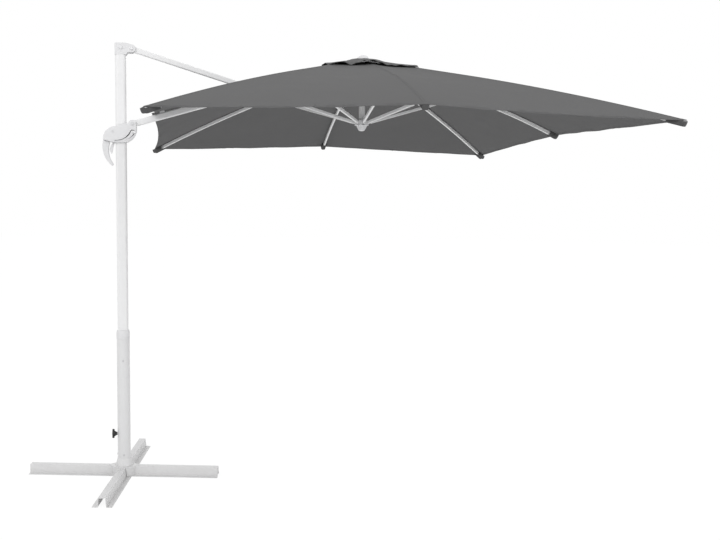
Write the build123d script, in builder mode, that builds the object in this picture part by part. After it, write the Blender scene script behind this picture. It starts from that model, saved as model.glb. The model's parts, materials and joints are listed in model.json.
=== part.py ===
from build123d import *
import os
from math import asin, cos, degrees, radians, sin, sqrt

# Cantilever parasol, millimetres. The origin is on the mast's axis at floor level,
# +X points along the boom, +Z is up. The canopy is open.

os.makedirs("parts", exist_ok=True)

# ---------------------------------------------------------------- overall sizes
canopy_half_side = 1200.0
corner_height = 1947.0  # cloth at the four corners
mid_tip_reach = 1186.0  # cloth at the middle of each side
mid_tip_height = 1990.0
head_pivot_height = 2399.0
head_pivot_x = 62.0
linkage_length = 723.3  # stay, and the boom from the slider to the stay joint
rib_reach = 600.0  # crown pivot to strut pivot, and runner pivot to strut pivot
open_slope = 16.3  # stay, boom and strut against the horizontal when open, degrees
corner_rib_slope = 13.0  # corner ribs leave the crown flatter than the others

# ---------------------------------------------------------------- clearances
running_gap = 0.05  # radial, pins and turning bushes
sliding_gap = 0.3  # round the mast, and beside the fork plates
seat_gap = 0.3  # soft or curved faces that rest on a neighbour
cloth_gap = 1.5  # cloth above the ribs
screw_gap = 0.5  # clearance hole round a bolt

# ---------------------------------------------------------------- base
base_turn = -9.0  # the cross against the boom, degrees
arm_reach = 544.0
arm_height = 50.0
arm_top_width = 40.0
arm_foot_width = 50.0
arm_flange = 28.0
arm_sheet = 2.0
mitre_gap = 0.5
plate_diagonal = 180.0
plate_thickness = 3.0
skirt_sheet = 2.5
skirt_gap = 4.0
foot_flare_radius = 48.0
foot_flare_height = 44.0
foot_land = 6.0
foot_spigot_height = 130.0  # above the cross plate
foot_bolt_circle = 33.0  # radius of the bolts' circle
foot_bolt_radius = 5.0
foot_bolt_length = 30.0
foot_screw_height = 118.0
foot_wall = 8.0
screw_radius = 3.0
screw_head_radius = 6.0
screw_head = 2.2
screw_tip = 29.0  # end of the foot screws from the mast's axis
screw_azimuths = (0, 90, 180, 270)
guide_screw_azimuths = (90, 270)

# ---------------------------------------------------------------- stand tube and mast
stand_radius = 36.5
stand_wall = 2.5
stand_top = 790.0
mast_depth = 60.0  # along X
mast_width = 44.0  # along Y
mast_corner = 16.0
mast_wall = 2.0
mast_foot_depth = 25.0  # mast seated in its foot bush
foot_bush_height = 82.0
collar_radius = 37.6
collar_top_radius = 34.5
collar_height = 49.0
collar_spigot = 40.0
collar_taper = 12.0
collar_groove = 1.2
guide_height = 666.0
guide_length = 50.0
guide_bore = 31.7
knob_height = 238.0
knob_reach = 66.0
knob_disc = 12.0
knob_radius = 27.0
knob_neck_radius = 7.0
knob_lobes = 5
stud_radius = 4.0
clamp_nut_radius = 6.5
clamp_flange_radius = 9.0
clamp_flange = 0.9

# ---------------------------------------------------------------- mast head
head_proud = 0.6  # cap outside against the mast's outside
head_skirt_height = 2365.0
head_top = 2428.5
head_plug = 60.0
horn_radius = 21.0
cheek_gap = 0.5
pivot_bolt_radius = 5.0
bolt_head_radius = 8.5
bolt_head = 4.0
head_bolt_x = 3.5
head_bolt_drop = 27.0

# ---------------------------------------------------------------- stay and boom
stay_depth = 30.0
stay_width = 20.0
stay_wall = 1.8
stay_corner = 6.0
stay_start = 40.0  # tube's end from the head pivot
stay_fork_reach = 70.0  # fork plates' root from the stay joint
fork_plate = 4.0
fork_block = 14.0
plug_length = 40.0
boom_depth = 36.0
boom_width = 24.0
boom_wall = 2.0
boom_corner = 8.0
boom_start = 30.0  # tube's end from the slider pivot
boom_end = 30.0  # tube's end from the crown pivot
boom_tongue_radius = 16.0
boom_tongue_half = 11.0
ear_bolt_radius = 6.0
boom_crown_tongue = 10.0
joint_pin_radius = 5.0
clip_reach = 1146.0  # hem clip from the crown pivot, along the boom
clip_length = 28.0
clip_height = 8.0

# ---------------------------------------------------------------- crown, runner, ribs and struts
hub_pivot_radius = 30.0
hub_radius = 40.0
hub_core = 17.0
hub_above = 12.0
hub_below = 13.0
tongue_width = 8.0
tongue_depth = 12.0
slot_gap = 0.3
hub_pin_radius = 2.0
hub_pin_half = 10.2
centre_radius = 17.0
centre_wall = 2.5
runner_dome = 31.0
runner_above = 14.0
socket_gap = 0.5
socket_depth = 9.0
hub_socket = 20.0
finial_rim = 5.0
finial_depth = 22.0
finial_radius = 38.0
finial_height = 32.0
finial_spigot = 6.0
rib_depth = 20.0
rib_width = 12.0
rib_wall = 1.2
rib_corner = 3.0
rib_start = 24.0  # tube's end from the crown pivot
rib_tip_inset = 10.0  # rib's end inside the cloth's edge
tip_cap = 8.0
rib_pin_radius = 3.0
yoke_collar = 3.0  # wall of the yoke round a corner rib
yoke_length = 26.0
strut_depth = 16.0
strut_width = 12.6
strut_wall = 1.2
strut_corner = 2.5
strut_plate = 2.0
strut_root = 42.0  # tube's end from the strut pivot
strut_lap = 20.0  # fork plate on the tube's side
west_strut_root = 58.0

# ---------------------------------------------------------------- slider
shell_half = 32.0
slider_drop = 105.0  # shells' bottom below the slider pivot
liner_inset = 12.0
liner_height = 80.0
shoe_depth = 18.0
shoe_pocket = 22.0
shell_edge = 4.0
liner_wall = 3.0
ear_radius = 22.0
slider_bolt_radius = 4.0
second_bolt_x = -45.0
second_bolt_drop = 44.0
tenon_half = 8.0
handle_half = 13.0
handle_edge = 6.0
lever_pivot_x = 64.0
lever_pivot_drop = 48.0
lever_pin_radius = 4.0
lever_arm_inner = 25.7
lever_arm_outer = 28.3
lever_trigger_half = 7.0
lever_room = 0.4
shoe_half = 11.0
shoe_height = 34.0

# ---------------------------------------------------------------- cloth
cloth_thickness = 1.0
vent_opening = 0.13  # share of each rib
vent_reach = 0.235
vent_lift = 3.0
hub_collar_cloth = 4.0  # flat cloth round the crown hub
hub_cloth_reach = 26.0
edge_scallop = 0.975
slit_length = 160.0
slit_width = 46.0

# ---------------------------------------------------------------- worked-out places
rise = radians(open_slope)
slider_pivot_height = head_pivot_height - 2 * linkage_length * sin(rise)
crown_x = head_pivot_x + (linkage_length + rib_reach) * cos(rise) + hub_pivot_radius
crown_height = slider_pivot_height + (linkage_length + rib_reach) * sin(rise)
runner_height = crown_height - 2 * rib_reach * sin(rise)
plate_top = arm_height + plate_thickness
stand_bottom = plate_top + foot_flare_height + foot_land
stand_bore = stand_radius - stand_wall
foot_spigot_top = plate_top + foot_spigot_height
mast_bottom = foot_spigot_top + foot_bush_height - mast_foot_depth
pin_drop = rib_reach * sin(radians(open_slope - corner_rib_slope))
hub_top = crown_height + hub_above


def side_plane(origin, azimuth=0.0, slope=0.0):
    """Plane of a member's side: local x runs along it, local y is up, the normal points to its right."""
    a = radians(azimuth)
    s = radians(slope)
    along = (cos(a) * cos(s), sin(a) * cos(s), sin(s))
    return Plane(origin=origin, x_dir=along, z_dir=(sin(a), -cos(a), 0))


def cross_plane(origin, azimuth, slope, distance):
    """Plane across a member at a distance from its origin: local x is up, local y is across."""
    side = side_plane(origin, azimuth, slope)
    return Plane(origin=side.from_local_coords((distance, 0, 0)), x_dir=side.y_dir, z_dir=side.x_dir)


def about_crown(azimuth, radius, height):
    """Point at a radius from the canopy's axis."""
    a = radians(azimuth)
    return (crown_x + radius * cos(a), radius * sin(a), height)


# ================================================================ base
base_azimuths = {"east": 0, "north": 90, "west": 180, "south": 270}
for arm_name, arm_azimuth in base_azimuths.items():
    arm_plane = cross_plane((0, 0, 0), arm_azimuth + base_turn, 0, 0)
    # half of the hat, from the crown of the channel down to the flange's edge
    top_half = arm_top_width / 2
    foot_half = arm_foot_width / 2
    flange_half = foot_half + arm_flange
    inner_drop = arm_height - arm_sheet
    with BuildPart() as floor_arm:
        with BuildSketch(arm_plane):
            with BuildLine():
                hat = Polyline(
                    (0, flange_half),
                    (arm_sheet, flange_half),
                    (arm_sheet, foot_half),
                    (arm_height, top_half),
                    (arm_height, 0),
                    (inner_drop, 0),
                    (inner_drop, top_half - arm_sheet),
                    (0, foot_half - arm_sheet),
                    close=True,
                )
            make_face()
            mirror(about=Plane.XZ)
        extrude(amount=arm_reach)
        turned = Plane.XY.rotated((0, 0, arm_azimuth + base_turn))
        with BuildSketch(turned):
            with BuildLine():
                Polyline(
                    (mitre_gap, 0),
                    (arm_reach + mitre_gap, arm_reach),
                    (arm_reach + mitre_gap, -arm_reach),
                    close=True,
                )
            make_face()
        extrude(amount=arm_height, mode=Mode.INTERSECT)
        with BuildSketch(turned):
            with Locations((foot_bolt_circle, 0)):
                Circle(foot_bolt_radius + screw_gap)
        extrude(amount=arm_height, mode=Mode.SUBTRACT)
    floor_arm.part.label = f"floor_arm_{arm_name}"
    export_step(floor_arm.part, f"parts/floor_arm_{arm_name}.step")

with BuildPart() as cross_plate:
    with BuildSketch(Plane.XY.offset(arm_height).rotated((0, 0, base_turn))):
        Rectangle(plate_diagonal / sqrt(2), plate_diagonal / sqrt(2), rotation=45)
        with PolarLocations(foot_bolt_circle, 4):
            Circle(foot_bolt_radius + screw_gap, mode=Mode.SUBTRACT)
    extrude(amount=plate_thickness)
    # a folded skirt closes each corner between two arms
    edge_distance = plate_diagonal / 2 / sqrt(2)
    top_chord = sqrt(2) * (edge_distance * sqrt(2) / 2 - arm_top_width / 2) - skirt_gap
    foot_chord = sqrt(2) * (edge_distance * sqrt(2) / 2 - arm_foot_width / 2) - skirt_gap
    for corner in range(4):
        skirt_azimuth = base_turn + 45 + 90 * corner
        skirt_plane = cross_plane((0, 0, 0), skirt_azimuth, 0, edge_distance - skirt_sheet)
        with BuildSketch(skirt_plane):
            with BuildLine():
                Polyline(
                    (arm_sheet + seat_gap, -foot_chord),
                    (arm_sheet + seat_gap, foot_chord),
                    (arm_height, top_chord),
                    (arm_height, -top_chord),
                    close=True,
                )
            make_face()
        extrude(amount=skirt_sheet)
cross_plate.part.label = "cross_plate"
export_step(cross_plate.part, "parts/cross_plate.step")

with BuildPart() as mast_foot:
    with BuildSketch(Plane.XZ):
        with BuildLine():
            Polyline(
                (0, plate_top),
                (foot_flare_radius, plate_top),
                (foot_flare_radius, plate_top + foot_land),
                (stand_radius + 1, plate_top + foot_flare_height),
                (stand_radius + 1, stand_bottom),
                (stand_bore - running_gap, stand_bottom),
                (stand_bore - running_gap, foot_spigot_top),
                (stand_bore - 4, foot_spigot_top),
                (0, foot_spigot_top),
                close=True,
            )
        make_face()
    revolve(axis=Axis.Z)
    with BuildSketch(Plane.XY.offset(plate_top + foot_bolt_length)):
        Circle(stand_bore - foot_wall)
    extrude(amount=foot_spigot_height, mode=Mode.SUBTRACT)
    with BuildSketch(Plane.XY.offset(plate_top).rotated((0, 0, base_turn))):
        with PolarLocations(foot_bolt_circle, 4):
            Circle(foot_bolt_radius + running_gap)
    extrude(amount=foot_bolt_length - foot_land, mode=Mode.SUBTRACT)
    # the tube's screws end in blind holes in the spigot's wall
    for azimuth in screw_azimuths:
        with BuildSketch(cross_plane((0, 0, foot_screw_height), azimuth, 0, screw_tip)):
            Circle(screw_radius + running_gap)
        extrude(amount=stand_radius, mode=Mode.SUBTRACT)
mast_foot.part.label = "mast_foot"
export_step(mast_foot.part, "parts/mast_foot.step")

with BuildPart() as foot_bolts:
    with BuildSketch(Plane.XY.offset(arm_height - arm_sheet).rotated((0, 0, base_turn))):
        with PolarLocations(foot_bolt_circle, 4):
            RegularPolygon(bolt_head_radius, 6)
    extrude(amount=-bolt_head)
    with BuildSketch(Plane.XY.offset(arm_height - arm_sheet).rotated((0, 0, base_turn))):
        with PolarLocations(foot_bolt_circle, 4):
            Circle(foot_bolt_radius)
    extrude(amount=foot_bolt_length - foot_land)
foot_bolts.part.label = "foot_bolts"
export_step(foot_bolts.part, "parts/foot_bolts.step")

# ================================================================ stand tube
with BuildPart() as stand_tube:
    with BuildSketch(Plane.XY.offset(stand_bottom)):
        Circle(stand_radius)
        Circle(stand_bore, mode=Mode.SUBTRACT)
    extrude(amount=stand_top - stand_bottom)
    for azimuth in screw_azimuths:
        with BuildSketch(cross_plane((0, 0, foot_screw_height), azimuth, 0, 0)):
            Circle(screw_radius + running_gap)
        extrude(amount=stand_radius * 2, mode=Mode.SUBTRACT)
    for azimuth in guide_screw_azimuths:
        with BuildSketch(cross_plane((0, 0, guide_height), azimuth, 0, 0)):
            Circle(screw_radius + running_gap)
        extrude(amount=stand_radius * 2, mode=Mode.SUBTRACT)
    with BuildSketch(cross_plane((0, 0, knob_height), 180, 0, 0)):
        Circle(clamp_nut_radius + running_gap)
    extrude(amount=stand_radius * 2, mode=Mode.SUBTRACT)
stand_tube.part.label = "stand_tube"
export_step(stand_tube.part, "parts/stand_tube.step")

with BuildPart() as tube_screws:
    for azimuth in screw_azimuths:
        with BuildSketch(cross_plane((0, 0, foot_screw_height), azimuth, 0, screw_tip)):
            Circle(screw_radius)
        extrude(amount=stand_radius - screw_tip)
        with BuildSketch(cross_plane((0, 0, foot_screw_height), azimuth, 0, stand_radius)):
            Circle(screw_head_radius)
        extrude(amount=screw_head, taper=20)
    for azimuth in guide_screw_azimuths:
        with BuildSketch(cross_plane((0, 0, guide_height), azimuth, 0, guide_bore + 1)):
            Circle(screw_radius)
        extrude(amount=stand_radius - guide_bore - 1)
        with BuildSketch(cross_plane((0, 0, guide_height), azimuth, 0, stand_radius)):
            Circle(screw_head_radius)
        extrude(amount=screw_head, taper=20)
tube_screws.part.label = "tube_screws"
export_step(tube_screws.part, "parts/tube_screws.step")

with BuildPart() as guide_bush:
    with BuildSketch(Plane.XY.offset(guide_height - guide_length / 2)):
        Circle(stand_bore - running_gap)
        Circle(guide_bore, mode=Mode.SUBTRACT)
    extrude(amount=guide_length)
    for azimuth in guide_screw_azimuths:
        with BuildSketch(cross_plane((0, 0, guide_height), azimuth, 0, guide_bore - 1)):
            Circle(screw_radius + running_gap)
        extrude(amount=stand_radius, mode=Mode.SUBTRACT)
guide_bush.part.label = "guide_bush"
export_step(guide_bush.part, "parts/guide_bush.step")

with BuildPart() as clamp_nut:
    with BuildSketch(cross_plane((0, 0, knob_height), 180, 0, stand_bore)):
        Circle(clamp_nut_radius)
        Circle(stud_radius + running_gap, mode=Mode.SUBTRACT)
    extrude(amount=stand_wall + clamp_flange)
    with BuildSketch(cross_plane((0, 0, knob_height), 180, 0, stand_radius + seat_gap)):
        Circle(clamp_flange_radius)
        Circle(stud_radius + running_gap, mode=Mode.SUBTRACT)
    extrude(amount=clamp_flange)
clamp_nut.part.label = "clamp_nut"
export_step(clamp_nut.part, "parts/clamp_nut.step")

neck_start = stand_radius + clamp_flange + 2 * seat_gap
disc_start = knob_reach - knob_disc
with BuildPart() as clamp_knob:
    # star head: a disc with lobes, then a cone down to the neck
    with BuildSketch(cross_plane((0, 0, knob_height), 180, 0, disc_start)):
        Circle(knob_radius * 0.72)
        with PolarLocations(knob_radius * 0.68, knob_lobes):
            Circle(knob_radius * 0.32)
    extrude(amount=knob_disc)
    fillet(clamp_knob.faces().filter_by(Axis.X).edges().filter_by(GeomType.CIRCLE), knob_disc / 5)
    with BuildSketch(cross_plane((0, 0, knob_height), 180, 0, disc_start)):
        Circle(knob_radius * 0.62)
    with BuildSketch(cross_plane((0, 0, knob_height), 180, 0, neck_start)):
        Circle(knob_neck_radius)
    loft()
    with BuildSketch(cross_plane((0, 0, knob_height), 180, 0, stand_bore + seat_gap / 2)):
        Circle(stud_radius)
    extrude(amount=knob_reach - stand_bore - knob_disc)
clamp_knob.part.label = "clamp_knob"
export_step(clamp_knob.part, "parts/clamp_knob.step")

# ================================================================ mast
with BuildPart() as mast_tube:
    with BuildSketch(Plane.XY.offset(mast_bottom)):
        RectangleRounded(mast_depth, mast_width, mast_corner)
        RectangleRounded(
            mast_depth - 2 * mast_wall, mast_width - 2 * mast_wall, mast_corner - mast_wall, mode=Mode.SUBTRACT
        )
    extrude(amount=head_skirt_height - mast_bottom)
mast_tube.part.label = "mast_tube"
export_step(mast_tube.part, "parts/mast_tube.step")

with BuildPart() as mast_foot_bush:
    with BuildSketch(Plane.XY.offset(foot_spigot_top)):
        Circle(stand_bore - running_gap)
    extrude(amount=foot_bush_height)
    with BuildSketch(Plane.XY.offset(mast_bottom)):
        RectangleRounded(mast_depth, mast_width, mast_corner)
    extrude(amount=foot_bush_height, mode=Mode.SUBTRACT)
mast_foot_bush.part.label = "mast_foot_bush"
export_step(mast_foot_bush.part, "parts/mast_foot_bush.step")

collar_bottom = stand_top + seat_gap
with BuildPart() as mast_collar:
    with BuildSketch(Plane.XZ):
        with BuildLine():
            Polyline(
                (0, collar_bottom - collar_spigot),
                (stand_bore - running_gap, collar_bottom - collar_spigot),
                (stand_bore - running_gap, collar_bottom),
                (collar_radius, collar_bottom),
                (collar_radius, collar_bottom + collar_taper),
                (collar_radius - collar_groove, collar_bottom + collar_taper + collar_groove),
                (collar_radius, collar_bottom + collar_taper + 2 * collar_groove),
                (collar_radius, collar_bottom + collar_height - collar_taper),
                (collar_top_radius, collar_bottom + collar_height),
                (0, collar_bottom + collar_height),
                close=True,
            )
        make_face()
    revolve(axis=Axis.Z)
    with BuildSketch(Plane.XY):
        RectangleRounded(mast_depth + 2 * running_gap, mast_width + 2 * running_gap, mast_corner + running_gap)
    extrude(amount=head_pivot_height, mode=Mode.SUBTRACT)
mast_collar.part.label = "mast_collar"
export_step(mast_collar.part, "parts/mast_collar.step")

# ---------------------------------------------------------------- mast head
stay_tongue_radius = stay_depth / 2
cap_depth = mast_depth + 2 * head_proud
cap_width = mast_width + 2 * head_proud
with BuildPart() as mast_head:
    with BuildSketch(Plane.XZ):
        with BuildLine():
            Polyline(
                (-cap_depth / 2, head_skirt_height),
                (cap_depth / 2, head_skirt_height),
                (head_pivot_x - horn_radius, head_pivot_height - horn_radius),
                (head_pivot_x, head_pivot_height - horn_radius),
                (head_pivot_x, head_pivot_height + horn_radius),
                (cap_depth / 2, head_top),
                (-cap_depth / 2, head_top),
                close=True,
            )
        make_face()
        with Locations((head_pivot_x, head_pivot_height)):
            Circle(horn_radius)
    extrude(amount=cap_width / 2, both=True)
    fillet(mast_head.edges().filter_by(Axis.Z).group_by(Axis.X)[0], mast_corner / 2)
    with BuildSketch(Plane.XY.offset(head_skirt_height)):
        RectangleRounded(
            mast_depth - 2 * mast_wall - 2 * running_gap,
            mast_width - 2 * mast_wall - 2 * running_gap,
            mast_corner - mast_wall - running_gap,
        )
    extrude(amount=-head_plug)
    # slot for the stay's tongue, open in front, above and below
    slot_wall = head_pivot_x - stay_tongue_radius - 3
    with BuildSketch(Plane.XZ):
        with BuildLine():
            Polyline(
                (slot_wall, head_skirt_height),
                (slot_wall, head_top),
                (head_pivot_x + 2 * horn_radius, head_top),
                (head_pivot_x + 2 * horn_radius, head_skirt_height),
                close=True,
            )
        make_face()
    extrude(amount=stay_width / 2 + cheek_gap, both=True, mode=Mode.SUBTRACT)
    with BuildSketch(Plane.XZ):
        with Locations((head_pivot_x, head_pivot_height), (head_bolt_x, head_top - head_bolt_drop)):
            Circle(pivot_bolt_radius + running_gap)
    extrude(amount=mast_width, both=True, mode=Mode.SUBTRACT)
mast_head.part.label = "mast_head"
export_step(mast_head.part, "parts/mast_head.step")

with BuildPart() as head_bolts:
    with BuildSketch(Plane.XZ):
        with Locations((head_pivot_x, head_pivot_height), (head_bolt_x, head_top - head_bolt_drop)):
            Circle(pivot_bolt_radius)
    extrude(amount=cap_width / 2, both=True)
    for face_y in (-cap_width / 2, cap_width / 2 + bolt_head):
        with BuildSketch(Plane.XZ.offset(-face_y)):
            with Locations((head_pivot_x, head_pivot_height), (head_bolt_x, head_top - head_bolt_drop)):
                Circle(bolt_head_radius)
        extrude(amount=bolt_head)
    fillet(head_bolts.faces().sort_by(Axis.Y)[0:2].edges(), bolt_head / 3)
head_bolts.part.label = "head_bolts"
export_step(head_bolts.part, "parts/head_bolts.step")

# ================================================================ stay
head_pivot = (head_pivot_x, 0, head_pivot_height)
stay_side = side_plane(head_pivot, 0, -open_slope)
stay_tube_end = linkage_length - stay_fork_reach - fork_block
with BuildPart() as stay_tube:
    with BuildSketch(cross_plane(head_pivot, 0, -open_slope, stay_start)):
        RectangleRounded(stay_depth, stay_width, stay_corner)
        RectangleRounded(
            stay_depth - 2 * stay_wall, stay_width - 2 * stay_wall, stay_corner - stay_wall, mode=Mode.SUBTRACT
        )
    extrude(amount=stay_tube_end - stay_start)
stay_tube.part.label = "stay_tube"
export_step(stay_tube.part, "parts/stay_tube.step")

stay_bore_depth = stay_depth - 2 * stay_wall - 2 * running_gap
stay_bore_width = stay_width - 2 * stay_wall - 2 * running_gap
stay_bore_corner = stay_corner - stay_wall - running_gap
with BuildPart() as stay_ends:
    # tongue at the mast head
    with BuildSketch(stay_side):
        Circle(stay_tongue_radius)
        with Locations((stay_start / 2, 0)):
            Rectangle(stay_start, stay_depth)
    extrude(amount=stay_width / 2, both=True)
    with BuildSketch(cross_plane(head_pivot, 0, -open_slope, stay_start)):
        RectangleRounded(stay_bore_depth, stay_bore_width, stay_bore_corner)
    extrude(amount=plug_length)
    # fork at the boom: a block, a plug and two plates
    with BuildSketch(cross_plane(head_pivot, 0, -open_slope, stay_tube_end - plug_length)):
        RectangleRounded(stay_bore_depth, stay_bore_width, stay_bore_corner)
    extrude(amount=plug_length)
    fork_inner = boom_width / 2 + sliding_gap
    with BuildSketch(stay_side):
        with Locations((linkage_length - stay_fork_reach - fork_block / 2, 0)):
            Rectangle(fork_block, stay_depth)
    extrude(amount=fork_inner + fork_plate, both=True)
    for plate_start in (-fork_inner - fork_plate, fork_inner):
        plate_side = side_plane((head_pivot_x, plate_start + fork_plate, head_pivot_height), 0, -open_slope)
        with BuildSketch(plate_side):
            with Locations((linkage_length - stay_fork_reach / 2, 0)):
                Rectangle(stay_fork_reach, stay_depth)
            with Locations((linkage_length, 0)):
                Circle(stay_tongue_radius)
        extrude(amount=fork_plate)
    with BuildSketch(stay_side):
        Circle(pivot_bolt_radius + running_gap)
        with Locations((linkage_length, 0)):
            Circle(joint_pin_radius + running_gap)
    extrude(amount=boom_width, both=True, mode=Mode.SUBTRACT)
stay_ends.part.label = "stay_ends"
export_step(stay_ends.part, "parts/stay_ends.step")

# ================================================================ boom
slider_pivot = (head_pivot_x, 0, slider_pivot_height)
boom_side = side_plane(slider_pivot, 0, open_slope)
boom_length = linkage_length + rib_reach
with BuildPart() as boom_tube:
    with BuildSketch(cross_plane(slider_pivot, 0, open_slope, boom_start)):
        RectangleRounded(boom_depth, boom_width, boom_corner)
        RectangleRounded(
            boom_depth - 2 * boom_wall, boom_width - 2 * boom_wall, boom_corner - boom_wall, mode=Mode.SUBTRACT
        )
    extrude(amount=boom_length - boom_end - boom_start)
    with BuildSketch(boom_side):
        with Locations((linkage_length, 0)):
            Circle(joint_pin_radius + running_gap)
    extrude(amount=boom_width, both=True, mode=Mode.SUBTRACT)
boom_tube.part.label = "boom_tube"
export_step(boom_tube.part, "parts/boom_tube.step")

boom_bore_depth = boom_depth - 2 * boom_wall - 2 * running_gap
boom_bore_width = boom_width - 2 * boom_wall - 2 * running_gap
boom_bore_corner = boom_corner - boom_wall - running_gap
with BuildPart() as boom_ends:
    # tongue in the slider's ear
    with BuildSketch(boom_side):
        Circle(boom_tongue_radius)
        with Locations((boom_start / 2, 0)):
            Rectangle(boom_start, 2 * boom_tongue_radius)
    extrude(amount=boom_tongue_half, both=True)
    with BuildSketch(cross_plane(slider_pivot, 0, open_slope, boom_start)):
        RectangleRounded(boom_bore_depth, boom_bore_width, boom_bore_corner)
    extrude(amount=plug_length)
    # tongue in the crown
    with BuildSketch(boom_side):
        with Locations((boom_length, 0)):
            Circle(tongue_depth / 2 + 2)
        with Locations((boom_length - boom_end / 2, 0)):
            Rectangle(boom_end, tongue_depth + 4)
    extrude(amount=boom_crown_tongue / 2, both=True)
    with BuildSketch(cross_plane(slider_pivot, 0, open_slope, boom_length - boom_end)):
        RectangleRounded(boom_bore_depth, boom_bore_width, boom_bore_corner)
    extrude(amount=-plug_length)
    with BuildSketch(boom_side):
        Circle(ear_bolt_radius + running_gap)
        with Locations((boom_length, 0)):
            Circle(hub_pin_radius + running_gap)
    extrude(amount=boom_width, both=True, mode=Mode.SUBTRACT)
boom_ends.part.label = "boom_ends"
export_step(boom_ends.part, "parts/boom_ends.step")

west_plate_inner = boom_width / 2 + 2 * sliding_gap + fork_plate
pin_half = west_plate_inner + strut_plate + seat_gap
with BuildPart() as joint_pin:
    with BuildSketch(boom_side):
        with Locations((linkage_length, 0)):
            Circle(joint_pin_radius)
    extrude(amount=pin_half, both=True)
    for head_y in (-pin_half, pin_half + bolt_head):
        head_side = side_plane((head_pivot_x, head_y, slider_pivot_height), 0, open_slope)
        with BuildSketch(head_side):
            with Locations((linkage_length, 0)):
                Circle(bolt_head_radius)
        extrude(amount=bolt_head)
joint_pin.part.label = "joint_pin"
export_step(joint_pin.part, "parts/joint_pin.step")

with BuildPart() as hem_clip:
    with BuildSketch(boom_side):
        with Locations((boom_length - clip_reach, boom_depth / 2 + clip_height / 2)):
            Rectangle(clip_length, clip_height)
    extrude(amount=boom_width / 2 - boom_corner / 2, both=True)
    fillet(hem_clip.edges().filter_by(Axis.Y).group_by(Axis.Z)[-1], clip_height / 3)
hem_clip.part.label = "hem_clip"
export_step(hem_clip.part, "parts/hem_clip.step")

# ================================================================ slider
ear_plane_half = boom_tongue_half + cheek_gap
cavity_depth = mast_depth + 2 * (sliding_gap + liner_wall)
cavity_width = mast_width + 2 * (sliding_gap + liner_wall)
cavity_corner = mast_corner + sliding_gap + liner_wall
slider_side = side_plane(slider_pivot)
lever_spot = (lever_pivot_x - head_pivot_x, -lever_pivot_drop)
second_spot = (second_bolt_x - head_pivot_x, -second_bolt_drop)
shell_low = slider_pivot_height - slider_drop
tenon_outline = ((-150, -104), (-136, -108), (-112, -80), (-101, -58), (-101, -34), (-118, -34), (-150, -84))
shoe_middle = (mast_depth / 2 + sliding_gap - head_pivot_x, -lever_pivot_drop)

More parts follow.
